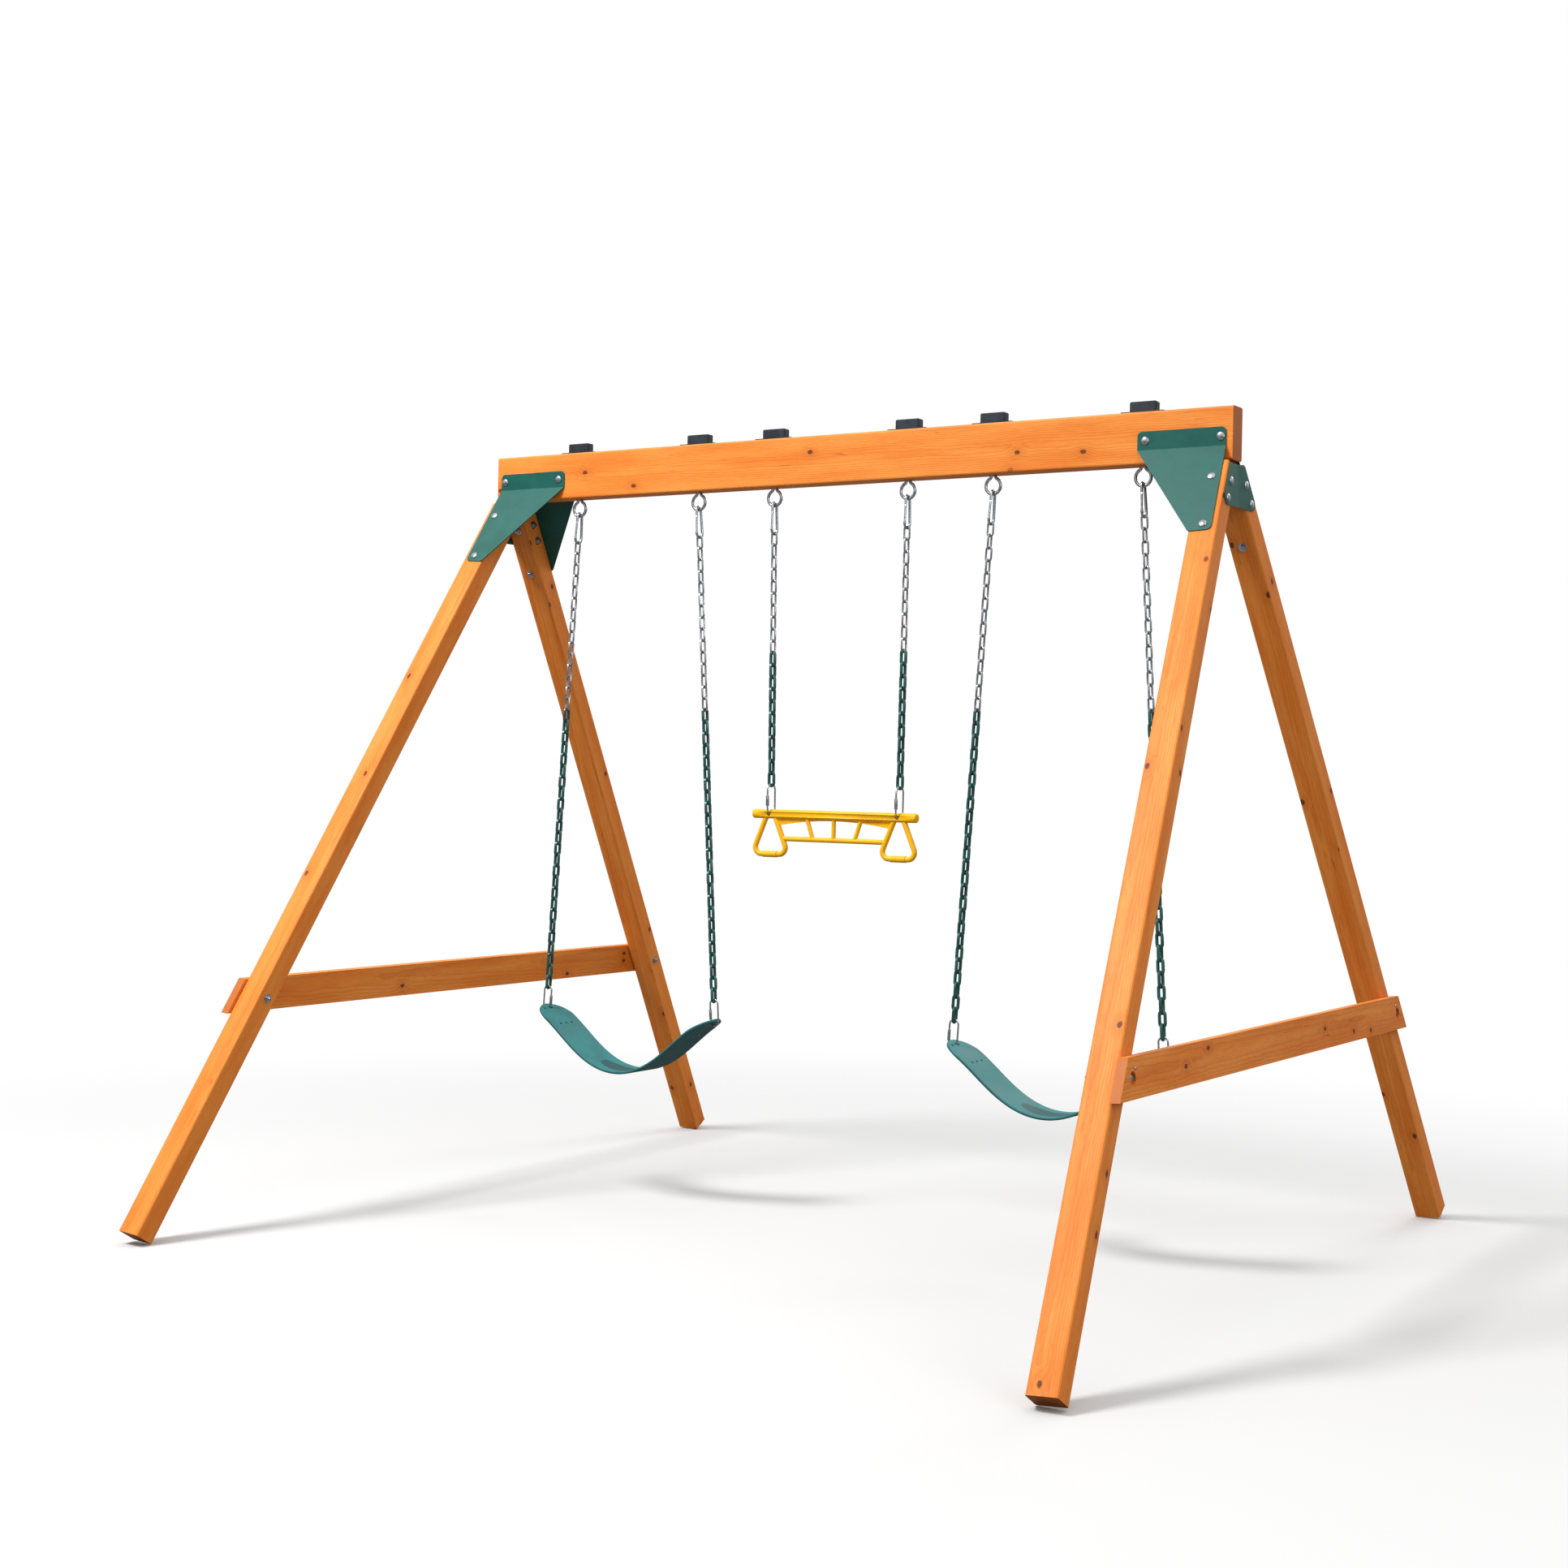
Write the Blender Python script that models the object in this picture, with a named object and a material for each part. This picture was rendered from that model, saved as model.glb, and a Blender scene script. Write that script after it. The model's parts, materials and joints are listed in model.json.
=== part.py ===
"""Wooden A-frame swing set: a beam on four splayed legs, two belt swings and a trapeze.

Metres, +Z up. X runs along the beam, -Y is the front, and the origin is on the ground under the
middle of the beam. The frame is the same left and right and front and back, so one leg, one corner
plate and one half of an end plate are worked out at the front right and mirrored.
"""
import math

import bmesh
import bpy
from mathutils import Matrix, Vector

# Timber
BEAM_LENGTH = 2.438
BEAM_HEIGHT = 0.140
BEAM_WIDTH = 0.064
BEAM_TOP = 2.284
POST_WIDTH = 0.076
POST_DEPTH = 0.064
LEG_LEAN = math.radians(31.6)
LEG_SPLAY = math.radians(4.3)
LEG_TOP_GAP = 0.018
RIDGE_GAP = 0.003
TIMBER_ROUND = 0.006
BRACE_HEIGHT = 0.095
BRACE_THICKNESS = 0.024
BRACE_LEVEL = 0.650
BRACE_OVERHANG = 0.010
COUNTERBORE_RADIUS = 0.016
COUNTERBORE_DEPTH = 0.010

# Steel plates
PLATE_THICKNESS = 0.003
CORNER_STRIP_HEIGHT = 0.050
CORNER_SPAN = 0.247
CORNER_DROP = 0.225
CORNER_INSET = 0.014
CORNER_ROUND = 0.012
END_PLATE_HEIGHT = 0.113
END_PLATE_GAP = 0.010
END_PLATE_INSET = 0.010
END_PLATE_ROUND = 0.018

# Hangers on the beam
SWING_PITCH = 0.715
ROW_OFFSET = 0.020
EYE_SPACING = 0.446
EYE_RADIUS = 0.0225
EYE_WIRE = 0.0045
EYE_NECK = 0.003
WASHER_RADIUS = 0.011
WASHER_THICKNESS = 0.002
NUT_RADIUS = 0.0085
NUT_HEIGHT = 0.008
STUD_HEIGHT = 0.004
CAP_LENGTH = 0.076
CAP_WIDTH = 0.030
CAP_HEIGHT = 0.030
CAP_WALL = 0.003
CAP_ROUND = 0.005
FLANGE_LENGTH = 0.124
FLANGE_WIDTH = 0.040
FLANGE_THICKNESS = 0.003

# Snap hooks and quick links
HOOK_LENGTH = 0.100
HOOK_WIRE = 0.004
HOOK_TOP_RADIUS = 0.0105
HOOK_BOTTOM_RADIUS = 0.0145
GATE_WIRE = 0.003
GATE_DEPTH = 0.034
GATE_LENGTH = 0.042
LINK_WIRE = 0.0025
LINK_RADIUS = 0.0135
LINK_STRAIGHT = 0.051
TRAPEZE_LINK_RADIUS = 0.020
LINK_MOUTH = 0.006
LINK_MOUTH_LEVEL = 0.014
SLEEVE_LENGTH = 0.030
SLEEVE_LEVEL = 0.021
SLEEVE_RADIUS = 0.0048

# Chains, belt seats and trapeze
SWING_CHAIN = 1.368
SWING_BARE_CHAIN = 0.520
TRAPEZE_CHAIN = 0.721
TRAPEZE_BARE_CHAIN = 0.345
BARE_RADIUS = 0.0050
COATED_RADIUS = 0.0065
SEAT_LENGTH = 0.750
SEAT_WIDTH = 0.140
SEAT_THICKNESS = 0.008
SEAT_SLOPE = math.radians(40.0)
SEAT_END_MARGIN = 0.023
GROMMET_RADIUS = 0.0070
BELT_SINK = 0.0083
BAR_LENGTH = 0.520
BAR_RADIUS = 0.0135
BAR_HOLE_SPACING = 0.430
BAR_HOLE_RADIUS = 0.0062
RING_HEIGHT = 0.117
RING_HALF_TOP = 0.012
RING_HALF_BASE = 0.062
RING_ROUND = 0.020
RING_RADIUS = 0.008
GRIP_RADIUS = 0.0097
GRIP_LENGTH = 0.048
RAIL_DROP = 0.071
RAIL_RADIUS = 0.0075
STRUT_RADIUS = 0.0065
STRUT_TOP = 0.094
STRUT_FOOT = 0.070
WEB_THICKNESS = 0.004
WEB_DEPTH_AT_RING = 0.033
WEB_DEPTH_AT_STRUT = 0.021
WEB_DEPTH_AT_MIDDLE = 0.016

# Clearances
GAP = 0.0003
RUNNING_GAP = 0.0006
PIVOT_GAP = 0.0008

# Facets
ROUND_SIDES = 12
WIRE_SIDES = 8
ARC_STEPS = 7
CORNER_STEPS = 3
SEAT_STATIONS = 22
SEAT_END_STEPS = 4
SEAT_COLUMNS = 4

# Derived levels
X_AXIS = Vector((1.0, 0.0, 0.0))
Y_AXIS = Vector((0.0, 1.0, 0.0))
Z_AXIS = Vector((0.0, 0.0, 1.0))
BEAM_BOTTOM = BEAM_TOP - BEAM_HEIGHT
EYE_LEVEL = BEAM_BOTTOM - EYE_NECK - EYE_RADIUS - EYE_WIRE
PIVOT_LEVEL = EYE_LEVEL - EYE_RADIUS
SHANK_HOLE_RADIUS = EYE_WIRE + RUNNING_GAP
HOOK_CREST = EYE_WIRE + PIVOT_GAP + HOOK_WIRE
CHAIN_START = HOOK_LENGTH - HOOK_CREST - HOOK_WIRE + GAP

# Axes of the front right leg: the normal of its front face, the direction up along it and the
# direction across it towards the outer side
LEG_NORMAL = Vector((0.0, -math.cos(LEG_LEAN), math.sin(LEG_LEAN)))
LEG_RISE = Vector((0.0, math.sin(LEG_LEAN), math.cos(LEG_LEAN)))
LEG_UP = math.cos(LEG_SPLAY) * LEG_RISE - math.sin(LEG_SPLAY) * X_AXIS
LEG_SIDE = math.cos(LEG_SPLAY) * X_AXIS + math.sin(LEG_SPLAY) * LEG_RISE
LEG_TOP_REACH = POST_DEPTH * math.cos(LEG_LEAN) + RIDGE_GAP / 2
LEG_TOP = Vector(
    (
        BEAM_LENGTH / 2,
        -LEG_TOP_REACH,
        BEAM_BOTTOM - LEG_TOP_GAP + (LEG_TOP_REACH - BEAM_WIDTH / 2) * math.tan(LEG_LEAN),
    )
)
LEG_HEEL = LEG_TOP - POST_WIDTH * LEG_SIDE - POST_DEPTH * LEG_NORMAL
LEG_LENGTH = LEG_HEEL.z / LEG_UP.z

QUADRANTS = {
    "front_left": (-1, 1),
    "front_right": (1, 1),
    "rear_left": (-1, -1),
    "rear_right": (1, -1),
}

FINISHES = {
    "wood": ((0.78, 0.33, 0.09, 1.0), 0.55, 0.0),
    "green_steel": ((0.02, 0.24, 0.20, 1.0), 0.40, 0.3),
    "zinc": ((0.62, 0.64, 0.66, 1.0), 0.30, 1.0),
    "chain": ((0.04, 0.20, 0.18, 1.0), 0.40, 0.2),
    "cap": ((0.02, 0.03, 0.04, 1.0), 0.45, 0.0),
    "belt": ((0.08, 0.38, 0.40, 1.0), 0.55, 0.0),
    "yellow": ((0.95, 0.62, 0.01, 1.0), 0.35, 0.0),
}


def clear_scene():
    for item in list(bpy.data.objects):
        bpy.data.objects.remove(item, do_unlink=True)


def finish_material(name):
    """The material called name, made on its first use."""
    material = bpy.data.materials.get(name)
    if material is None:
        colour, roughness, metallic = FINISHES[name]
        material = bpy.data.materials.new(name)
        material.use_nodes = True
        shader = material.node_tree.nodes["Principled BSDF"]
        shader.inputs["Base Color"].default_value = colour
        shader.inputs["Roughness"].default_value = roughness
        shader.inputs["Metallic"].default_value = metallic
    return material


def make_object(name, mesh_data, finish, smooth=False):
    """An object from a bmesh, which is used up, with its normals facing out."""
    bmesh.ops.recalc_face_normals(mesh_data, faces=mesh_data.faces)
    mesh = bpy.data.meshes.new(name)
    mesh_data.to_mesh(mesh)
    mesh_data.free()
    mesh.materials.append(finish_material(finish))
    if smooth:
        mesh.shade_smooth()
        mesh.set_sharp_from_angle(angle=math.radians(40))
    item = bpy.data.objects.new(name, mesh)
    bpy.context.collection.objects.link(item)
    return item


def make_pivot(name, location, parent=None, tilt=0.0):
    """An empty on a joint's axis, turned about Y by tilt."""
    pivot = bpy.data.objects.new(name, None)
    pivot.location = location
    pivot.rotation_euler = (0.0, tilt, 0.0)
    pivot.parent = parent
    bpy.context.collection.objects.link(pivot)
    return pivot


def combine(target, tools, operation):
    """Joins the tools to the target, or cuts them from it, and removes them."""
    for tool in tools:
        modifier = target.modifiers.new(operation, "BOOLEAN")
        modifier.operation = operation
        modifier.object = tool
    graph = bpy.context.evaluated_depsgraph_get()
    result = bpy.data.meshes.new_from_object(target.evaluated_get(graph))
    target.modifiers.clear()
    target.data = result
    for tool in tools:
        bpy.data.objects.remove(tool, do_unlink=True)
    return target


def loft(loops, closed=False):
    """A bmesh skin over loops of equally many points, capped at both ends or closed on itself."""
    skin = bmesh.new()
    rows = [[skin.verts.new(point) for point in loop] for loop in loops]
    pairs = list(zip(rows, rows[1:]))
    if closed:
        pairs.append((rows[-1], rows[0]))
    else:
        skin.faces.new(rows[0])
        skin.faces.new(rows[-1])
    for low, high in pairs:
        for i in range(len(low)):
            j = (i + 1) % len(low)
            skin.faces.new((low[i], low[j], high[j], high[i]))
    return skin


def circle(centre, across, up, radius, sides):
    angles = [2 * math.pi * i / sides for i in range(sides)]
    return [centre + radius * (math.cos(a) * across + math.sin(a) * up) for a in angles]


def rod(path, normal, radius, sides=WIRE_SIDES, closed=False):
    """A round rod along a path that lies in the plane with this normal. radius is one size, or
    one for each point of the path."""
    count = len(path)
    radii = radius if isinstance(radius, list) else [radius] * count
    loops = []
    for i, point in enumerate(path):
        before = path[i - 1] if i > 0 or closed else path[i]
        after = path[(i + 1) % count] if i < count - 1 or closed else path[i]
        across = (after - before).normalized().cross(normal)
        loops.append(circle(point, across, normal, radii[i], sides))
    return loft(loops, closed)


def turned(profile, sides=ROUND_SIDES):
    """A solid of revolution about Z from (radius, height) pairs, bottom to top."""
    loops = [circle(Z_AXIS * height, X_AXIS, Y_AXIS, radius, sides) for radius, height in profile]
    return loft(loops)


def arc(centre, radius, start, end, across, up, steps=ARC_STEPS):
    """Points on an arc from one angle to another, in the plane of across and up."""
    points = []
    for i in range(steps + 1):
        angle = start + (end - start) * i / steps
        points.append(centre + radius * (math.cos(angle) * across + math.sin(angle) * up))
    return points


def fillet(before, corner, after, radius, steps=CORNER_STEPS):
    """Points that round a corner."""
    to_before = (before - corner).normalized()
    to_after = (after - corner).normalized()
    half = to_before.angle(to_after) / 2
    centre = corner + (to_before + to_after).normalized() * radius / math.sin(half)
    start = corner + to_before * radius / math.tan(half) - centre
    end = corner + to_after * radius / math.tan(half) - centre
    turn = math.pi - 2 * half
    points = []
    for i in range(steps + 1):
        share = i / steps
        mix = math.sin((1 - share) * turn) * start + math.sin(share * turn) * end
        points.append(centre + mix / math.sin(turn))
    return points


def rounded_rectangle(length, width, radius, height):
    corners = [
        Vector((x * length / 2, y * width / 2, height))
        for x, y in ((1, 1), (-1, 1), (-1, -1), (1, -1))
    ]
    points = []
    for i, corner in enumerate(corners):
        points += fillet(corners[i - 1], corner, corners[(i + 1) % len(corners)], radius)
    return points


def prism(outline, depth):
    """A solid with the same outline on both sides, depth apart."""
    return loft([outline, [point + depth for point in outline]])


def timber(name, length, width, depth):
    """A square-cut timber along local Z, centred, with its four long edges rounded."""
    outline = rounded_rectangle(width, depth, TIMBER_ROUND, -length / 2)
    return make_object(name, prism(outline, Z_AXIS * length), "wood", smooth=True)


def folded_plate(name, crease, first, first_normal, second, second_normal):
    """A steel plate of two flat panels that share a crease. Each outline runs on from one end of
    the crease round to its other end, and the normals point out of the plate's front."""
    start, end = crease
    bisector = (first_normal + second_normal) / (1 + first_normal.dot(second_normal))
    points = [start, end, *first, *second]
    normals = [bisector, bisector]
    normals += [first_normal] * len(first) + [second_normal] * len(second)
    plate = bmesh.new()
    back = [plate.verts.new(p) for p in points]
    front = [plate.verts.new(p + n * PLATE_THICKNESS) for p, n in zip(points, normals)]
    first_loop = [0, 1, *range(2, 2 + len(first))]
    second_loop = [1, 0, *range(2 + len(first), len(points))]
    for loop in (first_loop, second_loop):
        plate.faces.new([front[i] for i in loop])
        plate.faces.new([back[i] for i in reversed(loop)])
    rim = first_loop[1:] + second_loop[1:]
    for i, j in zip(rim, rim[1:] + rim[:1]):
        plate.faces.new((back[i], back[j], front[j], front[i]))
    return make_object(name, plate, "green_steel")


def mirrored(point, quadrant):
    sign_x, sign_y = quadrant
    return Vector((point.x * sign_x, point.y * sign_y, point.z))


def leg_front_point(across, down, out=0.0):
    """A point on the front face of the front right leg: across from its outer edge and down from
    its top, both along the leg, and out from the face."""
    return LEG_TOP - across * LEG_SIDE - down * LEG_UP + out * LEG_NORMAL


def leg_edge_reach(level):
    """How far the front edges of the legs stand from the beam's middle plane at a level."""
    return LEG_TOP_REACH + (LEG_TOP.z - level) * math.tan(LEG_LEAN)


def make_bore(radius, low, high):
    """A round cutter about local Z."""
    return make_object("bore", turned([(radius, low), (radius, high)]), "zinc")


def make_beam(eye_places):
    beam = timber("beam", BEAM_LENGTH, BEAM_HEIGHT, BEAM_WIDTH)
    beam.data.transform(Matrix.Rotation(math.pi / 2, 4, "Y"))
    beam.location = (0.0, 0.0, BEAM_TOP - BEAM_HEIGHT / 2)
    bpy.context.view_layer.update()
    cutters = []
    for x in eye_places:
        cutter = make_bore(SHANK_HOLE_RADIUS, BEAM_BOTTOM - BEAM_WIDTH, BEAM_TOP + BEAM_WIDTH)
        cutter.location.x = x
        cutters.append(cutter)
    combine(beam, cutters, "DIFFERENCE")


def make_leg(name, quadrant):
    centre = leg_front_point(POST_WIDTH / 2, LEG_LENGTH / 2, -POST_DEPTH / 2)
    side = mirrored(LEG_SIDE, quadrant)
    normal = mirrored(LEG_NORMAL, quadrant)
    up = mirrored(LEG_UP, quadrant)
    depth_axis = normal if side.cross(normal).dot(up) > 0 else -normal
    axes = Matrix((side, depth_axis, up)).transposed().to_4x4()
    leg = timber(name, LEG_LENGTH, POST_WIDTH, POST_DEPTH)
    leg.matrix_world = Matrix.Translation(mirrored(centre, quadrant)) @ axes


def make_corner_plate(name, quadrant):
    """A strip flat on the beam's face, folded along a level line to a panel on the leg's face."""
    face_y = -(BEAM_WIDTH / 2 + GAP)
    fold_level = LEG_TOP.z + (GAP + math.cos(LEG_LEAN) * (face_y - LEG_TOP.y)) / math.sin(LEG_LEAN)
    fold = Vector((0.0, face_y, fold_level))
    outer_x = ((LEG_TOP - fold).dot(LEG_SIDE) - CORNER_INSET) / LEG_SIDE.x
    outer = fold + outer_x * X_AXIS
    inner = outer - CORNER_SPAN * X_AXIS
    outer_top = outer + CORNER_STRIP_HEIGHT * Z_AXIS
    inner_top = inner + CORNER_STRIP_HEIGHT * Z_AXIS
    outer_foot = leg_front_point(CORNER_INSET, CORNER_DROP, GAP)
    inner_foot = leg_front_point(POST_WIDTH, CORNER_DROP, GAP)
    strip = fillet(inner, inner_top, outer_top, CORNER_ROUND)
    strip += fillet(inner_top, outer_top, outer, CORNER_ROUND)
    panel = fillet(outer, outer_foot, inner_foot, CORNER_ROUND)
    panel += fillet(outer_foot, inner_foot, inner, CORNER_ROUND)
    folded_plate(
        name,
        (mirrored(outer, quadrant), mirrored(inner, quadrant)),
        [mirrored(point, quadrant) for point in strip],
        mirrored(-Y_AXIS, quadrant),
        [mirrored(point, quadrant) for point in panel],
        mirrored(LEG_NORMAL, quadrant),
    )


def outer_face_point(y, level):
    """A point just off the outer faces of the right legs, at y in front of the middle plane."""
    on_face = LEG_TOP + GAP * LEG_SIDE
    x = on_face.x - (LEG_SIDE.y * (y - on_face.y) + LEG_SIDE.z * (level - on_face.z)) / LEG_SIDE.x
    return Vector((x, y, level))


def make_end_plate(name, sign_x):
    """A plate across the outer faces of both legs, folded slightly at the middle plane."""
    top = BEAM_BOTTOM - END_PLATE_GAP
    foot = top - END_PLATE_HEIGHT
    crease = [outer_face_point(0.0, level) for level in (top, foot)]
    edge = [
        outer_face_point(-(leg_edge_reach(level) - END_PLATE_INSET), level)
        for level in (top, foot)
    ]
    half = fillet(crease[1], edge[1], edge[0], END_PLATE_ROUND) + [edge[0]]
    front = (sign_x, 1)
    rear = (sign_x, -1)
    folded_plate(
        name,
        [mirrored(point, front) for point in crease],
        [mirrored(point, front) for point in half],
        mirrored(LEG_SIDE, front),
        [mirrored(point, rear) for point in reversed(half)],
        mirrored(LEG_SIDE, rear),
    )


def make_brace(name, sign_x):
    """A board across the outer faces of a pair of legs, cut to their rake at both ends. It leans
    with the legs' front edges, along local Z, and its local X points out."""
    spread = math.tan(LEG_SPLAY) / math.cos(LEG_LEAN)
    lean = math.atan(spread)
    inner_x = LEG_TOP.x + spread * (LEG_TOP.z - BRACE_LEVEL) + GAP
    corners = []
    for side in (-1, 1):
        rise = side * BRACE_HEIGHT / 2
        reach = leg_edge_reach(BRACE_LEVEL + rise * math.cos(lean)) + BRACE_OVERHANG
        corners.append((reach, rise))
    (low_reach, low), (high_reach, high) = corners
    outline = [
        Vector((0.0, y, z))
        for y, z in ((-low_reach, low), (low_reach, low), (high_reach, high), (-high_reach, high))
    ]
    brace = make_object(name, prism(outline, BRACE_THICKNESS * X_AXIS), "wood")
    brace.rotation_euler.y = -lean
    brace.location = (inner_x, 0.0, BRACE_LEVEL)
    bpy.context.view_layer.update()
    bolt_y = leg_edge_reach(BRACE_LEVEL) - POST_DEPTH / 2 / math.cos(LEG_LEAN)
    cutters = []
    for y in (-bolt_y, bolt_y):
        floor = BRACE_THICKNESS - COUNTERBORE_DEPTH
        cutter = make_bore(COUNTERBORE_RADIUS, floor, 2 * BRACE_THICKNESS)
        cutter.data.transform(Matrix.Rotation(math.pi / 2, 4, "Y"))
        cutter.data.transform(Matrix.Translation((0.0, y, 0.0)))
        cutter.matrix_world = brace.matrix_world
        cutters.append(cutter)
    combine(brace, cutters, "DIFFERENCE")
    if sign_x < 0:
        brace.matrix_world = Matrix.Rotation(math.pi, 4, "Z") @ brace.matrix_world


def make_eye_bolt(name, x):
    """A ring in the XZ plane with a shank up through the beam, and its washer and nut on top."""
    foot = EYE_LEVEL + EYE_RADIUS
    seat = BEAM_TOP + GAP
    nut = seat + WASHER_THICKNESS
    end = nut + NUT_HEIGHT
    shank = turned(
        [
            (EYE_WIRE, foot),
            (EYE_WIRE, seat),
            (WASHER_RADIUS, seat),
            (WASHER_RADIUS, nut),
            (NUT_RADIUS, nut),
            (NUT_RADIUS, end),
            (EYE_WIRE, end),
            (EYE_WIRE, end + STUD_HEIGHT),
        ]
    )
    bolt = make_object(name, shank, "zinc", smooth=True)
    centre = EYE_LEVEL * Z_AXIS
    path = arc(centre, EYE_RADIUS, 0.0, 2 * math.pi, X_AXIS, Z_AXIS, 3 * ARC_STEPS)[:-1]
    ring = make_object("ring", rod(path, Y_AXIS, EYE_WIRE, closed=True), "zinc", smooth=True)
    combine(bolt, [ring], "UNION")
    bolt.data.transform(Matrix.Translation(-centre))
    bolt.location = (x, 0.0, EYE_LEVEL)


def make_cap(name, x):
    """A hollow block on a thin flange, open below, over the nut of an eye bolt."""
    inner = (CAP_LENGTH - 2 * CAP_WALL, CAP_WIDTH - 2 * CAP_WALL, CAP_ROUND - CAP_WALL)
    flange = (FLANGE_LENGTH, FLANGE_WIDTH, CAP_ROUND)
    block = (CAP_LENGTH, CAP_WIDTH, CAP_ROUND)
    bevel = CAP_ROUND / 2
    top = (CAP_LENGTH - 2 * bevel, CAP_WIDTH - 2 * bevel, CAP_ROUND - bevel)
    levels = (
        (inner, CAP_HEIGHT - CAP_WALL),
        (inner, 0.0),
        (flange, 0.0),
        (flange, FLANGE_THICKNESS),
        (block, FLANGE_THICKNESS),
        (block, CAP_HEIGHT - bevel),
        (top, CAP_HEIGHT),
    )
    skin = loft([rounded_rectangle(*size, level) for size, level in levels])
    cap = make_object(name, skin, "cap", smooth=True)
    cap.location = (x, 0.0, BEAM_TOP + GAP)


def hook_circles():
    """The centres of a hook's top and bottom bends, below its pivot on the ring's wire, and the
    angle at which its straight sides leave them."""
    top = (HOOK_CREST - HOOK_TOP_RADIUS) * Z_AXIS
    bottom = (HOOK_CREST + 2 * HOOK_WIRE - HOOK_LENGTH + HOOK_BOTTOM_RADIUS) * Z_AXIS
    flare = math.asin((HOOK_BOTTOM_RADIUS - HOOK_TOP_RADIUS) / (top - bottom).length)
    return top, bottom, flare


def hook_front_point(depth):
    """A point on the line of a hook's front side, at a depth below the hook's highest point."""
    top, bottom, flare = hook_circles()
    out = -math.cos(flare) * Y_AXIS + math.sin(flare) * Z_AXIS
    start = top + HOOK_TOP_RADIUS * out
    end = bottom + HOOK_BOTTOM_RADIUS * out
    level = HOOK_CREST + HOOK_WIRE - depth
    return start + (end - start) * (start.z - level) / (start.z - end.z)


def make_hook(station, pivot):
    """A pear-shaped snap hook in its local YZ plane, and the gate that closes its front."""
    top, bottom, flare = hook_circles()
    hinge = hook_front_point(GATE_DEPTH)
    nose = hook_front_point(GATE_DEPTH + GATE_LENGTH)
    along = (nose - hinge).normalized()
    clear = GATE_WIRE + RUNNING_GAP
    back = -Y_AXIS
    path = [hinge - clear * along]
    path += arc(top, HOOK_TOP_RADIUS, flare, math.pi - flare, back, Z_AXIS)
    path += arc(bottom, HOOK_BOTTOM_RADIUS, math.pi - flare, 2 * math.pi + flare, back, Z_AXIS)
    path.append(nose + RUNNING_GAP * along)
    hook = make_object("snap_hook_" + station, rod(path, X_AXIS, HOOK_WIRE), "zinc", smooth=True)
    hook.parent = pivot
    length = (nose - hinge).length
    stops = [-GATE_WIRE * 0.8, -GATE_WIRE * 0.4, 0.0, length]
    radii = [GATE_WIRE * 0.5, GATE_WIRE * 0.9, GATE_WIRE, GATE_WIRE]
    gate_path = [stop * along for stop in stops]
    gate = make_object("hook_gate_" + station, rod(gate_path, X_AXIS, radii), "zinc", smooth=True)
    gate.location = hinge
    gate.parent = pivot


def hexagonal_tube():
    """A sleeve nut about local Z, centred: a hexagon outside and a round bore."""
    flat = SLEEVE_RADIUS * math.cos(math.pi / 6)
    end = SLEEVE_LENGTH / 2 * Z_AXIS
    bore = circle(Vector(), X_AXIS, Y_AXIS, LINK_WIRE + RUNNING_GAP, ROUND_SIDES)
    corners = circle(Vector(), X_AXIS, Y_AXIS, SLEEVE_RADIUS, ROUND_SIDES)
    flats = circle(Vector(), X_AXIS, Y_AXIS, flat, ROUND_SIDES)
    hexagon = [corners[i] if i % 2 == 0 else flats[i] for i in range(ROUND_SIDES)]
    rims = ((bore, -end), (hexagon, -end), (hexagon, end), (bore, end))
    return loft([[point + shift for point in rim] for rim, shift in rims], closed=True)


def make_link(station, pivot, top_depth, radius, plane_side):
    """An oval quick link that hangs with its highest point at top_depth below the pivot, and the
    sleeve nut over the mouth in one of its sides. plane_side points from the link's middle to the
    side with the mouth."""
    normal = plane_side.cross(Z_AXIS)
    high = -(top_depth + LINK_WIRE + radius) * Z_AXIS
    low = high - LINK_STRAIGHT * Z_AXIS
    side = low + radius * plane_side
    mouth_low = side + (LINK_MOUTH_LEVEL - LINK_MOUTH / 2) * Z_AXIS
    mouth_high = mouth_low + LINK_MOUTH * Z_AXIS
    path = [mouth_high]
    path += arc(high, radius, 0.0, math.pi, plane_side, Z_AXIS)
    path += arc(low, radius, math.pi, 2 * math.pi, plane_side, Z_AXIS)
    path.append(mouth_low)
    link = make_object("quick_link_" + station, rod(path, normal, LINK_WIRE), "zinc", smooth=True)
    link.parent = pivot
    sleeve = make_object("link_sleeve_" + station, hexagonal_tube(), "zinc")
    sleeve.location = side + SLEEVE_LEVEL * Z_AXIS
    sleeve.parent = pivot


def make_chain(station, pivot, bare, length):
    """The plain envelope of a chain below its hook: thin where its links are bare, thicker where
    they are coated."""
    step = CHAIN_START + bare
    end = CHAIN_START + length
    profile = [
        (COATED_RADIUS, -end),
        (COATED_RADIUS, -step),
        (BARE_RADIUS, -step),
        (BARE_RADIUS, -CHAIN_START),
    ]
    chain = make_object("chain_" + station, turned(profile), "chain", smooth=True)
    chain.parent = pivot


def seat_curve(distance, steps=64):
    """The middle line of a belt seat from its lowest point: how far out and up it has come at a
    distance along it, and its slope there. It is steepest part way and flattens at the end."""
    out = 0.0
    rise = 0.0
    wave = 1.25 * SEAT_LENGTH / 2
    for i in range(steps):
        slope = SEAT_SLOPE * math.sin(math.pi * distance * (i + 0.5) / steps / wave)
        out += math.cos(slope) * distance / steps
        rise += math.sin(slope) * distance / steps
    return out, rise, SEAT_SLOPE * math.sin(math.pi * distance / wave)


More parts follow.
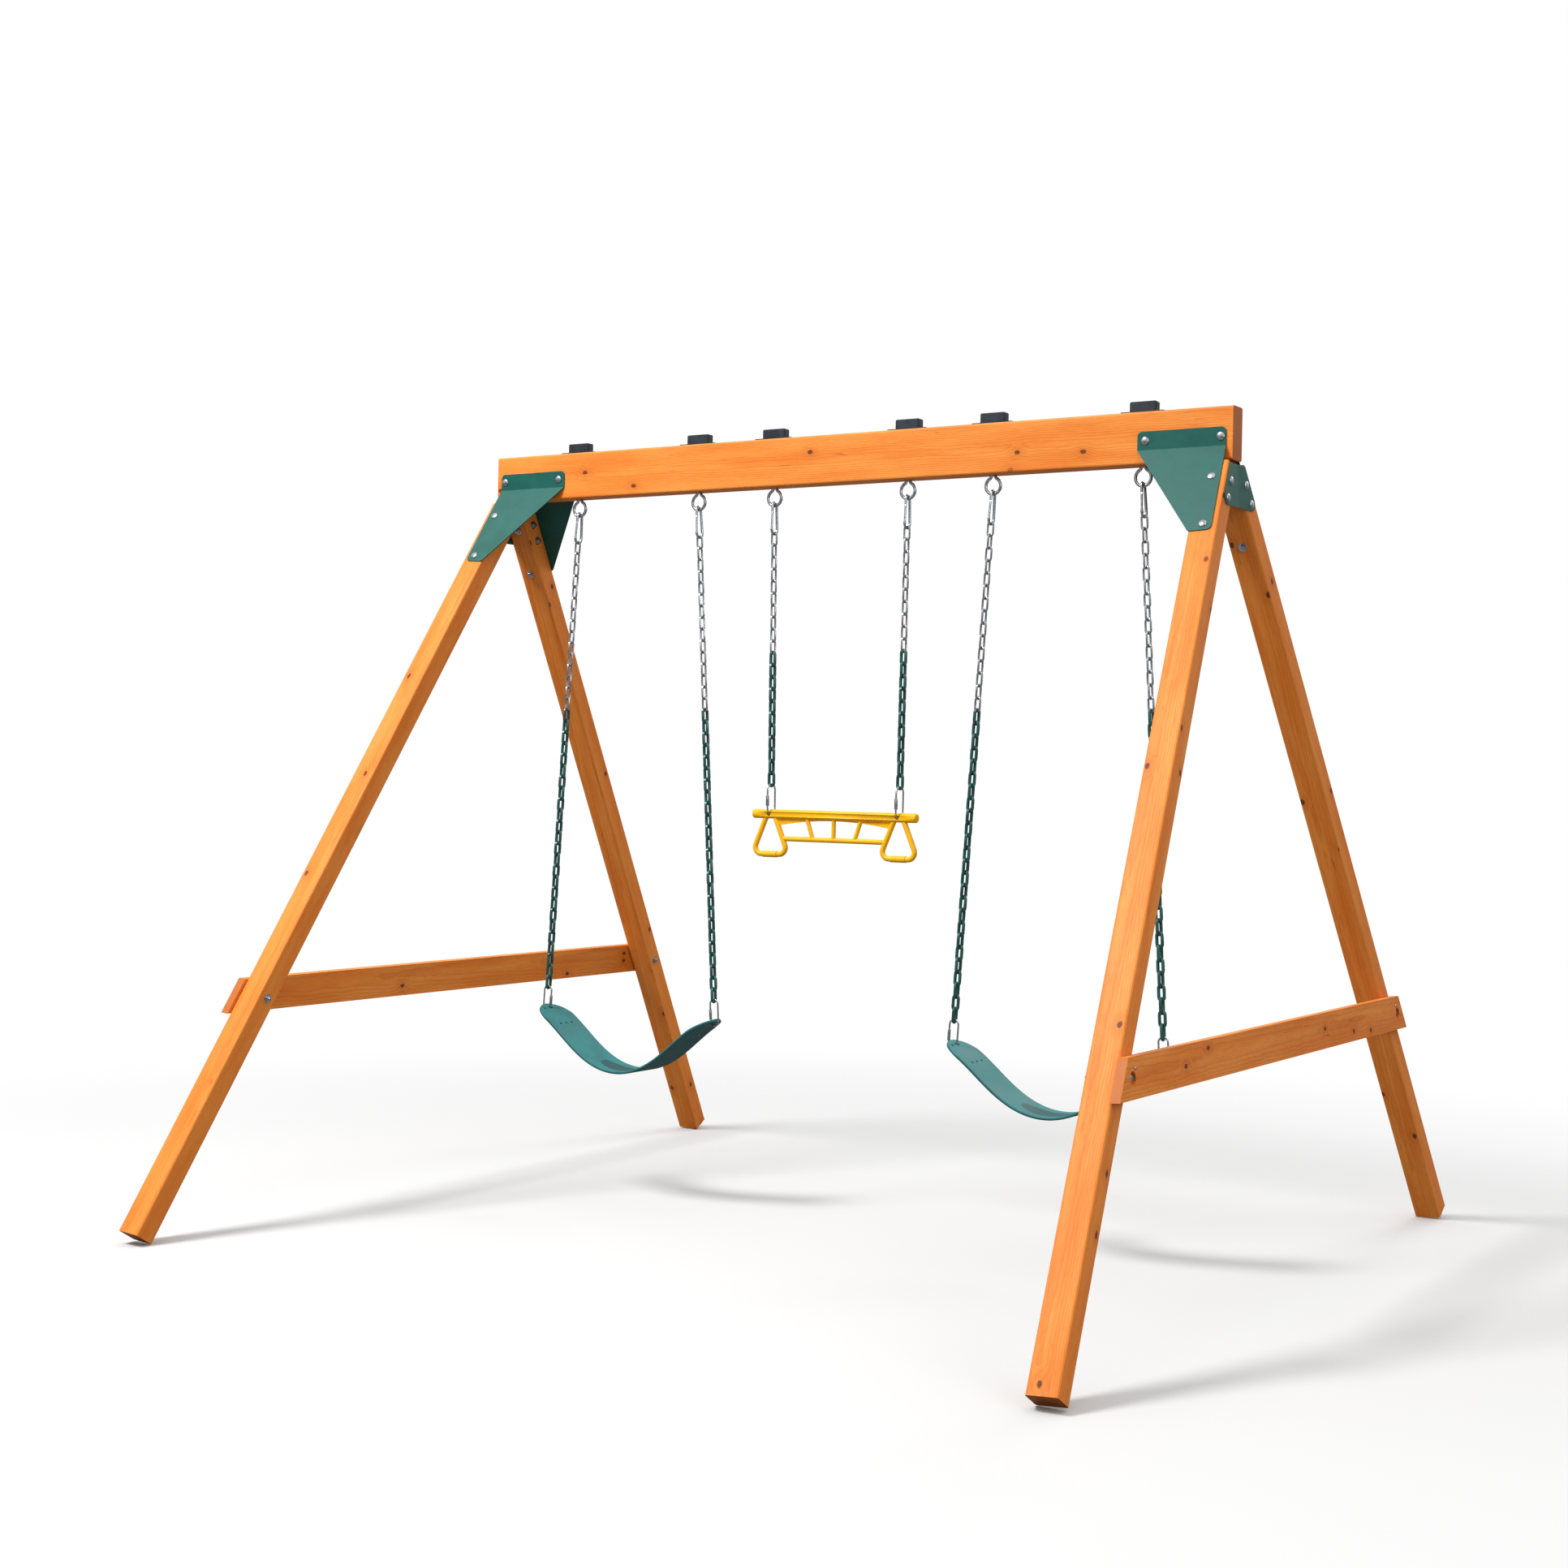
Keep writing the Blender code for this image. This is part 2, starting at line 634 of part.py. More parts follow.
def seat_stations():
    """Distances along the belt and its half width at each, with round ends."""
    corner = SEAT_WIDTH / 2
    straight = SEAT_LENGTH / 2 - corner
    step = 2 * straight / SEAT_STATIONS
    stations = [(i * step - straight, corner) for i in range(SEAT_STATIONS + 1)]
    for i in range(1, SEAT_END_STEPS + 1):
        angle = math.radians(80) * i / SEAT_END_STEPS
        end = (straight + corner * math.sin(angle), corner * math.cos(angle))
        stations.append(end)
        stations.insert(0, (-end[0], end[1]))
    return stations


def grommet_distance():
    return SEAT_LENGTH / 2 - SEAT_END_MARGIN


def make_seat(name, centre_x, hole_level):
    """A curved belt with a hole near each end. Its origin is on the line of its two holes."""
    hole_out, hole_rise, hole_slope = seat_curve(grommet_distance())
    loops = []
    for distance, half_width in seat_stations():
        out, rise, slope = seat_curve(abs(distance))
        side = math.copysign(1.0, distance)
        middle = Vector((side * out, 0.0, rise - hole_rise))
        up = Vector((-side * math.sin(slope), 0.0, math.cos(slope))) * SEAT_THICKNESS / 2
        across = [half_width * (2 * i / SEAT_COLUMNS - 1) for i in range(SEAT_COLUMNS + 1)]
        loop = [middle + up + y * Y_AXIS for y in across]
        loop += [middle - up + y * Y_AXIS for y in reversed(across)]
        loops.append(loop)
    seat = make_object(name, loft(loops), "belt", smooth=True)
    cutters = []
    for side in (-1, 1):
        cutter = make_bore(GROMMET_RADIUS, -4 * SEAT_THICKNESS, 4 * SEAT_THICKNESS)
        cutter.data.transform(Matrix.Rotation(-side * hole_slope, 4, "Y"))
        cutter.location.x = side * hole_out
        cutters.append(cutter)
    combine(seat, cutters, "DIFFERENCE")
    seat.location = (centre_x, 0.0, hole_level)


def ring_path(centre_x):
    """A hand ring's path in the XZ plane, from inside the bar round to the bar again."""
    corners = [
        Vector((centre_x + x, 0.0, z))
        for x, z in (
            (-RING_HALF_TOP, 0.0),
            (-RING_HALF_BASE, -RING_HEIGHT),
            (RING_HALF_BASE, -RING_HEIGHT),
            (RING_HALF_TOP, 0.0),
        )
    ]
    path = [corners[0]]
    path += fillet(corners[0], corners[1], corners[2], RING_ROUND, ARC_STEPS)
    path += fillet(corners[1], corners[2], corners[3], RING_ROUND, ARC_STEPS)
    path.append(corners[3])
    return path


def ring_leg_offset(drop):
    """How far a hand ring's straight legs stand from its middle, at a drop below the bar."""
    return RING_HALF_TOP + (RING_HALF_BASE - RING_HALF_TOP) * drop / RING_HEIGHT


def make_web():
    """The thin arched web under the bar, between the two hand rings."""
    ring_x = BAR_HOLE_SPACING / 2
    ring_edge = ring_x - ring_leg_offset(WEB_DEPTH_AT_RING)
    ring_top = ring_x - ring_leg_offset(0.0)
    arch = [
        (ring_edge, -WEB_DEPTH_AT_RING),
        (STRUT_TOP, -WEB_DEPTH_AT_STRUT),
        (0.0, -WEB_DEPTH_AT_MIDDLE),
        (-STRUT_TOP, -WEB_DEPTH_AT_STRUT),
        (-ring_edge, -WEB_DEPTH_AT_RING),
        (-ring_top, 0.0),
        (ring_top, 0.0),
    ]
    outline = [Vector((x, -WEB_THICKNESS / 2, z)) for x, z in arch]
    return make_object("web", prism(outline, WEB_THICKNESS * Y_AXIS), "yellow")


def make_trapeze(centre_x, bar_level, pivot_level):
    """The moulded trapeze: a bar, two hand rings, a lower rail, struts and a web. Its origin is
    level with its pivot, above the bar."""
    half = BAR_LENGTH / 2
    bevel = BAR_RADIUS / 5
    ends = [-half, -half + bevel, half - bevel, half]
    radii = [BAR_RADIUS - bevel, BAR_RADIUS, BAR_RADIUS, BAR_RADIUS - bevel]
    bar_skin = rod([x * X_AXIS for x in ends], Y_AXIS, radii, ROUND_SIDES)
    bar = make_object("trapeze_bar", bar_skin, "yellow", smooth=True)
    ring_x = BAR_HOLE_SPACING / 2
    rail_half = ring_x - ring_leg_offset(RAIL_DROP)
    rail_drop = -RAIL_DROP * Z_AXIS
    tools = [make_web()]
    for side in (-1, 1):
        path = ring_path(side * ring_x)
        tools.append(make_object("ring", rod(path, Y_AXIS, RING_RADIUS), "yellow"))
        base = side * ring_x * X_AXIS - RING_HEIGHT * Z_AXIS
        grip = [base - GRIP_LENGTH / 2 * X_AXIS, base + GRIP_LENGTH / 2 * X_AXIS]
        tools.append(make_object("grip", rod(grip, Y_AXIS, GRIP_RADIUS, ROUND_SIDES), "yellow"))
        strut = [side * STRUT_TOP * X_AXIS, side * STRUT_FOOT * X_AXIS + rail_drop]
        tools.append(make_object("strut", rod(strut, Y_AXIS, STRUT_RADIUS), "yellow"))
    rail = [rail_drop - rail_half * X_AXIS, rail_drop + rail_half * X_AXIS]
    tools.append(make_object("rail", rod(rail, Y_AXIS, RAIL_RADIUS), "yellow"))
    post = rod([Vector(), rail_drop], Y_AXIS, STRUT_RADIUS)
    tools.append(make_object("post", post, "yellow"))
    combine(bar, tools, "UNION")
    cutters = []
    for side in (-1, 1):
        cutter = make_bore(BAR_HOLE_RADIUS, -2 * BAR_RADIUS, 2 * BAR_RADIUS)
        cutter.data.transform(Matrix.Rotation(math.pi / 2, 4, "X"))
        cutter.location.x = side * ring_x
        cutters.append(cutter)
    combine(bar, cutters, "DIFFERENCE")
    bar.data.transform(Matrix.Translation((0.0, 0.0, bar_level - pivot_level)))
    bar.location = (centre_x, 0.0, pivot_level)


def make_hanger(station, x, tilt):
    """The pivot on an eye bolt's ring, turned so that its local Z runs along the chain."""
    pivot = make_pivot("pivot_" + station, (x, 0.0, PIVOT_LEVEL), tilt=tilt)
    make_hook(station, pivot)
    return pivot


def make_belt_swing(name, centre_x, mouth_sides):
    """Two hangers that spread a little to a belt seat. The quick links loop through the holes of
    the belt and round its ends."""
    link_top = CHAIN_START + SWING_CHAIN + GAP
    bend_depth = link_top + LINK_WIRE + LINK_RADIUS + LINK_STRAIGHT
    hole_depth = bend_depth + BELT_SINK - SEAT_THICKNESS / 2
    hole_out = seat_curve(grommet_distance())[0]
    reach = math.hypot(hole_depth, LINK_RADIUS)
    lead = math.atan2(LINK_RADIUS, hole_depth)
    spread = math.asin((hole_out - EYE_SPACING / 2) / reach) + lead
    for suffix, side, mouth in (("a", -1, mouth_sides[0]), ("b", 1, mouth_sides[1])):
        station = name + "_" + suffix
        pivot = make_hanger(station, centre_x + side * EYE_SPACING / 2, -side * spread)
        make_chain(station, pivot, SWING_BARE_CHAIN, SWING_CHAIN)
        make_link(station, pivot, link_top, LINK_RADIUS, mouth * X_AXIS)
    hole_level = PIVOT_LEVEL - hole_depth * math.cos(spread) - LINK_RADIUS * math.sin(spread)
    make_seat("belt_seat_" + name.split("_")[0], centre_x, hole_level)


def make_trapeze_swing(name, centre_x):
    """Two hangers to a trapeze. The quick links turn across the bar and pass through its holes."""
    link_top = CHAIN_START + TRAPEZE_CHAIN + GAP
    bend_depth = link_top + LINK_WIRE + TRAPEZE_LINK_RADIUS + LINK_STRAIGHT
    spread = math.asin((BAR_HOLE_SPACING - EYE_SPACING) / 2 / bend_depth)
    for suffix, side in (("a", -1), ("b", 1)):
        station = name + "_" + suffix
        pivot = make_hanger(station, centre_x + side * EYE_SPACING / 2, -side * spread)
        make_chain(station, pivot, TRAPEZE_BARE_CHAIN, TRAPEZE_CHAIN)
        make_link(station, pivot, link_top, TRAPEZE_LINK_RADIUS, -Y_AXIS)
    pivot_level = PIVOT_LEVEL - bend_depth * math.cos(spread)
    shallow = math.sqrt(TRAPEZE_LINK_RADIUS**2 - BAR_RADIUS**2)
    make_trapeze(centre_x, pivot_level - (TRAPEZE_LINK_RADIUS + shallow) / 2, pivot_level)


def main():
    clear_scene()
    stations = {}
    for name, place in (("left_swing", -1), ("trapeze", 0), ("right_swing", 1)):
        centre = ROW_OFFSET + place * SWING_PITCH
        for suffix, side in (("a", -1), ("b", 1)):
            stations[name + "_" + suffix] = centre + side * EYE_SPACING / 2
    make_beam(stations.values())
    for name, x in stations.items():
        make_eye_bolt("eye_bolt_" + name, x)
        make_cap("beam_cap_" + name, x)
    for name, quadrant in QUADRANTS.items():
        make_leg("leg_" + name, quadrant)
        make_corner_plate("corner_plate_" + name, quadrant)
    for name, sign_x in (("left", -1), ("right", 1)):
        make_end_plate("end_plate_" + name, sign_x)
        make_brace("brace_" + name, sign_x)
    make_belt_swing("left_swing", ROW_OFFSET - SWING_PITCH, (1, -1))
    make_trapeze_swing("trapeze", ROW_OFFSET)
    make_belt_swing("right_swing", ROW_OFFSET + SWING_PITCH, (-1, 1))


main()
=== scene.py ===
"""Looks for the wooden swing set: stained timber, coated steel, chains, belts and trapeze.

Metres, +Z up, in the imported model's own frame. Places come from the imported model's boxes and
joints; sizes that a box can't give are named below.
"""
import json
import math
import random

import bmesh
import bpy
from mathutils import Matrix, Vector


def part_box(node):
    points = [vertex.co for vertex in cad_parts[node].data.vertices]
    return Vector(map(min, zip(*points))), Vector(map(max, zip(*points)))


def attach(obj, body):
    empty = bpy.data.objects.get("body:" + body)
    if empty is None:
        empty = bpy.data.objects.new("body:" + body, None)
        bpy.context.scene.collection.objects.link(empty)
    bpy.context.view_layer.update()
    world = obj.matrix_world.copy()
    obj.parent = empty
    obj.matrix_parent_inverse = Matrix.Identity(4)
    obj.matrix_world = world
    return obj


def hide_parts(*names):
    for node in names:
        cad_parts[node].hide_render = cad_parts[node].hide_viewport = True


# Wire and hardware sizes
EYE_WIRE = 0.0045
EYE_RADIUS = 0.0225
EYE_GAP = math.radians(24)
EYE_TIP_HALF = 0.00155
EYE_TIP_RISE = 0.004
EYE_SHANK_DROP = 0.002
EYE_WASHER_RADIUS = 0.011
EYE_WASHER_THICKNESS = 0.002
EYE_NUT_RADIUS = 0.0085
EYE_THREAD_END = 0.004
PIVOT_GAP = 0.0008
HOOK_WIRE = 0.004
HOOK_LENGTH = 0.100
HOOK_TOP_RADIUS = 0.0105
HOOK_BOTTOM_RADIUS = 0.0145
GATE_WIRE = 0.003
GATE_DEPTH = 0.034
GATE_LENGTH = 0.042
GATE_PIN_RADIUS = 0.0017
GATE_HEEL = 0.0024
GATE_CLEARANCE = 0.0006
LINK_WIRE = 0.0025
LINK_STRAIGHT = 0.051
LINK_RADII = {"belt": 0.0135, "bar": 0.020}
LINK_MOUTH = 0.006
LINK_MOUTH_LEVEL = 0.014
SLEEVE_FLAT = 0.0041
SLEEVE_BORE = 0.0031
SLEEVE_LENGTH = 0.030
SLEEVE_LEVEL = 0.021
SLEEVE_CHAMFER = 0.0012

# Chain
CHAIN_PITCH = 0.035
BARE_WIRE = 0.0029
COATED_WIRE = 0.0045
CHAIN_HALF_WIDTH = 0.0083
BARE_LENGTHS = {"belt": 0.520, "bar": 0.345}
CHAIN_TWIST = math.radians(-12.5)
TWIST_RAMP = 8.0
LINK_JITTER = math.radians(4.0)

# Bolts, nuts and screws
HEAD_RADIUS = 0.0115
HEAD_HEIGHT = 0.0045
BRACE_HEAD_RADIUS = 0.0085
WASHER_RADIUS = 0.0125
WASHER_THICKNESS = 0.0018
NUT_RADIUS = 0.0088
NUT_HEIGHT = 0.0068
THREAD_RADIUS = 0.0046
THREAD_END = 0.004
SCREW_RADIUS = 0.0042
SCREW_HEIGHT = 0.0026
CAP_SCREW_INSET = 0.011
CAP_SCREW_RISE = 0.003

# Timber joints
POST_WIDTH = 0.076
POST_DEPTH = 0.064
LEG_LEAN = math.radians(31.6)
LEG_SPLAY = math.radians(4.3)
LEG_BEAM_GAP = 0.0015
LEG_TOP_DROP = 0.018
PLATE_THICKNESS = 0.003
STRIP_HEIGHT = 0.050
STRIP_BOLT_INNER = 0.022
STRIP_BOLT_OUTER = 0.034
LEG_BOLT_DROPS = (0.052, 0.205)
END_BOLT_DROPS = (0.046, 0.101)
BRACE_THICKNESS = 0.024
COUNTERBORE_DEPTH = 0.010
HARDWARE_GAP = 0.0003
BRACE_SCREW_OFFSET = 0.026

# Belt seats
SEAT_LENGTH = 0.750
SEAT_WIDTH = 0.140
SEAT_THICKNESS = 0.008
SEAT_SLOPE = math.radians(40.0)
SEAT_END_MARGIN = 0.023
GROMMET_RADIUS = 0.0070
GROMMET_RIM = 0.0045
EDGE_ROUND = 0.0016
SIDE_HOLE_OFFSET = 0.028
HOLE_ROW_SETBACK = 0.075
HOLE_ROW_SPACING = 0.027
CUT_REACH = 0.012
BORDER_WIDTH = 0.005
BORDER_HEIGHT = 0.0006
FIELD_DEPTH = 0.0010
STUD_HEIGHT = 0.0005
STUD_WAVE = 480.0
SMALL_HOLE_RADIUS = 0.0036
GRIP_FIELD = (0.098, 0.036)
FIELD_SQUARENESS = 2.8
RELIEF_TOP = 0.0011

# Studio
FLOOR_SEEN = (0.60, 0.60, 0.60, 1.0)
FLOOR_BOUNCE = (0.16, 0.16, 0.16, 1.0)
FLOOR_RUNOUT = (2.0, 4.6)
SKY_STOPS = ((0.0, 0.05), (1.0, 0.95), (0.46, 0.16), (0.64, 0.72))
FLOOR_HALF = 60.0
FLOOR_DROP = 0.0005
LIGHT_TARGET = (0.0, 0.0, 1.1)
LIGHTS = (
    ("key", (-2.6, -4.6, 7.2), 2.2, 640.0),
    ("fill", (6.0, -3.5, 3.2), 3.5, 60.0),
    ("back", (1.0, 6.0, 5.0), 3.0, 110.0),
)
CAMERA_PLACE = (3.4539, -5.6642, 1.3153)
CAMERA_LENS = 52.97
CAMERA_YAW = 0.5669
CAMERA_PITCH = -0.0052
CAMERA_ROLL = 0.0194

# Trapeze
BAR_RADIUS = 0.0135
BAR_HOLE_SPACING = 0.430
BAR_HOLE_RADIUS = 0.0062
RING_HEIGHT = 0.117
RING_HALF_TOP = 0.012
RING_HALF_BASE = 0.062
RING_ROUND = 0.020
END_ROUND = 0.006
RING_SINK = 0.0085
ARCH_CROWN = 0.016
ARCH_FOOT = 0.033
RING_RADIUS = 0.0078
GRIP_RADIUS = 0.0095
GRIP_LENGTH = 0.048
RAIL_DROP = 0.071
RAIL_RADIUS = 0.0073
STRUT_RADIUS = 0.0063
STRUT_TOP = 0.094
STRUT_FOOT = 0.070
WEB_THICKNESS = 0.004

X_AXIS = Vector((1.0, 0.0, 0.0))
Y_AXIS = Vector((0.0, 1.0, 0.0))
Z_AXIS = Vector((0.0, 0.0, 1.0))

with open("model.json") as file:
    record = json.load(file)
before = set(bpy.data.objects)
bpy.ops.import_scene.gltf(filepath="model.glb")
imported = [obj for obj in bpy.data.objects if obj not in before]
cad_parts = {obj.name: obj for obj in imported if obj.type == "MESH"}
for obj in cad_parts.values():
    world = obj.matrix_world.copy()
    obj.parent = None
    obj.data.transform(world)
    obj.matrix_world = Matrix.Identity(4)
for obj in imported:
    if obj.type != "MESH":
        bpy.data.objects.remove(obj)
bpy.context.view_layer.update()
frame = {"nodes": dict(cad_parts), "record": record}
NODES = frame["nodes"]
JOINTS = {joint["name"]: joint for joint in frame["record"]["behaviour"]["joints"]}

STATIONS = {
    "left_swing_a": ("belt", -1, 1),
    "left_swing_b": ("belt", 1, -1),
    "trapeze_a": ("bar", -1, 0),
    "trapeze_b": ("bar", 1, 0),
    "right_swing_a": ("belt", -1, -1),
    "right_swing_b": ("belt", 1, 1),
}


# ---- node helpers


class Shader:
    """A material's node tree with short calls for the nodes used here."""

    def __init__(self, name, material=None):
        self.material = material or bpy.data.materials.new(name)
        self.material.use_nodes = True
        self.tree = self.material.node_tree
        self.surface = self.tree.nodes["Principled BSDF"]

    def node(self, kind, **settings):
        made = self.tree.nodes.new(kind)
        for key, value in settings.items():
            setattr(made, key, value)
        return made

    def feed(self, socket, value):
        if isinstance(value, bpy.types.NodeSocket):
            self.tree.links.new(value, socket)
        else:
            socket.default_value = value

    def math(self, operation, first, second=0.0, third=0.0, clamp=False):
        made = self.node("ShaderNodeMath", operation=operation, use_clamp=clamp)
        for socket, value in zip(made.inputs, (first, second, third)):
            self.feed(socket, value)
        return made.outputs[0]

    def dot(self, vector, axis):
        made = self.node("ShaderNodeVectorMath", operation="DOT_PRODUCT")
        self.feed(made.inputs[0], vector)
        made.inputs[1].default_value = axis
        return made.outputs["Value"]

    def combine(self, x, y, z):
        made = self.node("ShaderNodeCombineXYZ")
        for socket, value in zip(made.inputs, (x, y, z)):
            self.feed(socket, value)
        return made.outputs[0]

    def place(self, output="Object"):
        return self.node("ShaderNodeTexCoord").outputs[output]

    def noise(self, vector, scale, detail=3.0, roughness=0.5):
        made = self.node("ShaderNodeTexNoise")
        self.feed(made.inputs["Vector"], vector)
        made.inputs["Scale"].default_value = scale
        made.inputs["Detail"].default_value = detail
        made.inputs["Roughness"].default_value = roughness
        return made.outputs["Fac"]

    def between(self, value, low, high, to_low=0.0, to_high=1.0):
        """value mapped smoothly from low..high to to_low..to_high."""
        made = self.node("ShaderNodeMapRange", interpolation_type="SMOOTHSTEP")
        for socket, number in zip(made.inputs, (value, low, high, to_low, to_high)):
            self.feed(socket, number)
        return made.outputs[0]

    def mix(self, share, first, second, blend="MIX"):
        made = self.node("ShaderNodeMix", data_type="RGBA", blend_type=blend)
        self.feed(made.inputs[0], share)
        self.feed(made.inputs[6], first)
        self.feed(made.inputs[7], second)
        return made.outputs[2]

    def bump(self, height, strength, distance):
        made = self.node("ShaderNodeBump")
        made.inputs["Strength"].default_value = strength
        made.inputs["Distance"].default_value = distance
        self.feed(made.inputs["Height"], height)
        self.feed(self.surface.inputs["Normal"], made.outputs[0])

    def set(self, **values):
        for name, value in values.items():
            self.feed(self.surface.inputs[name.replace("_", " ")], value)


def colour(red, green, blue):
    """A colour given as 0-255 display values, as the shader's linear numbers."""
    linear = []
    for value in (red, green, blue):
        share = value / 255
        linear.append(share / 12.92 if share <= 0.04045 else ((share + 0.055) / 1.055) ** 2.4)
    return (*linear, 1.0)


# ---- materials


WOOD_LIGHT = colour(242, 152, 66)
WOOD_MID = colour(230, 128, 42)
WOOD_RING = colour(184, 82, 14)
WOOD_DARK = colour(82, 34, 12)
WOOD_END = colour(172, 98, 42)


def wood(name, origin, along, across, depth, seed):
    """Stained softwood whose growth rings run round a pith line along the timber. Knots, fibre
    streaks and short drying checks are laid over the rings, and the cut ends show them too."""
    shader = Shader(name)
    draw = random.Random(seed)
    place = shader.place()
    shift = [-Vector(origin).dot(axis) for axis in (along, across, depth)]
    axes = (along, across, depth)
    length, width, thick = (
        shader.math("ADD", shader.dot(place, axis), offset) for axis, offset in zip(axes, shift)
    )
    broad_face = shader.math("ABSOLUTE", shader.dot(shader.place("Normal"), depth))
    on_broad = shader.between(broad_face, 0.4, 0.6)
    on_narrow = shader.math("SUBTRACT", 1.0, on_broad)
    broad_place = shader.math("MULTIPLY", on_broad, width)
    narrow_place = shader.math("MULTIPLY", on_narrow, shader.math("ADD", thick, 0.5))
    crosswise = shader.math("ADD", broad_place, narrow_place)
    knot_space = shader.combine(
        shader.math("MULTIPLY", length, 6.0),
        shader.math("MULTIPLY", crosswise, 9.0),
        0.0,
    )
    knot_shift = shader.node("ShaderNodeVectorMath", operation="ADD")
    shader.feed(knot_shift.inputs[0], knot_space)
    knot_shift.inputs[1].default_value = [draw.uniform(0, 40) for _ in range(3)]
    cells = shader.node("ShaderNodeTexVoronoi", feature="F1")
    cells.voronoi_dimensions = "2D"
    shader.feed(cells.inputs["Vector"], knot_shift.outputs[0])
    cells.inputs["Scale"].default_value = 1.0
    pick = shader.node("ShaderNodeSeparateColor")
    shader.feed(pick.inputs[0], cells.outputs["Color"])
    present = shader.between(pick.outputs[0], 0.56, 0.60)
    ragged = shader.noise(place, 160.0, 2.0)
    reach = shader.math("ADD", cells.outputs["Distance"], shader.math("MULTIPLY", ragged, 0.05))
    knot = shader.math("MULTIPLY", shader.between(reach, 0.092, 0.064), present)
    halo = shader.math("MULTIPLY", shader.between(reach, 0.30, 0.07), present)

    wander = shader.noise(shader.combine(shader.math("MULTIPLY", length, 1.3), width, thick), 2.6)
    ripple = shader.noise(shader.combine(shader.math("MULTIPLY", length, 5.0), width, thick), 3.0)
    bend = shader.math("MULTIPLY", shader.math("SUBTRACT", wander, 0.5), 0.022)
    small_bend = shader.math("MULTIPLY", shader.math("SUBTRACT", ripple, 0.5), 0.003)
    swirl = shader.math("MULTIPLY", halo, 0.007)
    pith_width = draw.uniform(-0.035, 0.035)
    pith_depth = draw.choice((-1, 1)) * draw.uniform(0.045, 0.075)
    off_width = shader.math("ADD", shader.math("SUBTRACT", width, pith_width), bend)
    off_depth = shader.math("ADD", shader.math("SUBTRACT", thick, pith_depth), small_bend)
    width_square = shader.math("POWER", off_width, 2.0)
    depth_square = shader.math("POWER", off_depth, 2.0)
    squares = shader.math("ADD", width_square, depth_square)
    radius = shader.math("ADD", shader.math("SQRT", squares), swirl)
    taper = shader.math("MULTIPLY", length, draw.uniform(-0.010, 0.010))
    rings = shader.math("FRACT", shader.math("MULTIPLY", shader.math("ADD", radius, taper), 185.0))
    late = shader.math("POWER", rings, 2.6)
    late = shader.math("MULTIPLY", late, shader.between(rings, 1.0, 0.90))

    fibre_space = shader.combine(shader.math("MULTIPLY", length, 0.035), width, thick)
    fibre = shader.noise(fibre_space, 900.0, 3.0, 0.6)
    broad = shader.noise(shader.combine(shader.math("MULTIPLY", length, 0.12), width, thick), 26.0)
    check_space = shader.combine(shader.math("MULTIPLY", length, 0.05), width, thick)
    check = shader.between(shader.noise(check_space, 210.0, 2.0), 0.735, 0.77)

    tone = shader.between(broad, 0.25, 0.75)
    base = shader.mix(tone, WOOD_LIGHT, WOOD_MID)
    ring_share = shader.math("MULTIPLY", late, 0.44)
    stained = shader.mix(ring_share, base, WOOD_RING)
    streak = shader.between(fibre, 0.35, 0.75, 0.0, 0.34)
    stained = shader.mix(streak, stained, WOOD_RING)
    stained = shader.mix(shader.math("MULTIPLY", halo, 0.26), stained, WOOD_RING)
    stained = shader.mix(shader.math("MULTIPLY", knot, 0.88), stained, WOOD_DARK)
    stained = shader.mix(shader.math("MULTIPLY", check, 0.55), stained, WOOD_DARK)
    facing = shader.math("ABSOLUTE", shader.dot(shader.place("Normal"), along))
    cut_end = shader.between(facing, 0.75, 0.9)
    end_tone = shader.mix(shader.math("MULTIPLY", late, 0.6), WOOD_END, WOOD_RING)
    stained = shader.mix(cut_end, stained, end_tone)

    rough = shader.between(fibre, 0.2, 0.8, 0.46, 0.62)
    shader.set(Base_Color=stained, Roughness=rough, Specular_IOR_Level=0.20)
    shader.surface.inputs["Coat Weight"].default_value = 0.03
    shader.surface.inputs["Coat Roughness"].default_value = 0.35
    relief = shader.math("SUBTRACT", shader.math("MULTIPLY", fibre, 0.5), late)
    relief = shader.math("SUBTRACT", relief, shader.math("MULTIPLY", check, 1.6))
    shader.bump(relief, 0.35, 0.0006)
    return shader.material


def coated_steel(name, face, seed):
    """Powder-coated steel: a fine orange-peel surface, slight fading and a few rub marks."""
    shader = Shader(name)
    place = shader.place()
    peel = shader.noise(place, 900.0 + seed, 2.0, 0.6)
    cloud = shader.noise(place, 14.0 + seed, 4.0, 0.6)
    rub = shader.between(shader.noise(place, 70.0 + seed, 5.0, 0.75), 0.70, 0.80)
    faded = shader.mix(shader.between(cloud, 0.3, 0.7, 0.0, 0.22), face, colour(14, 112, 98))
    shown = shader.mix(shader.math("MULTIPLY", rub, 0.12), faded, colour(60, 140, 132))
    rough = shader.between(cloud, 0.2, 0.8, 0.40, 0.52)
    shader.set(Base_Color=shown, Roughness=rough, Specular_IOR_Level=0.30)
    shader.surface.inputs["Coat Weight"].default_value = 0.08
    shader.surface.inputs["Coat Roughness"].default_value = 0.22
    shader.bump(peel, 0.18, 0.0003)
    return shader.material


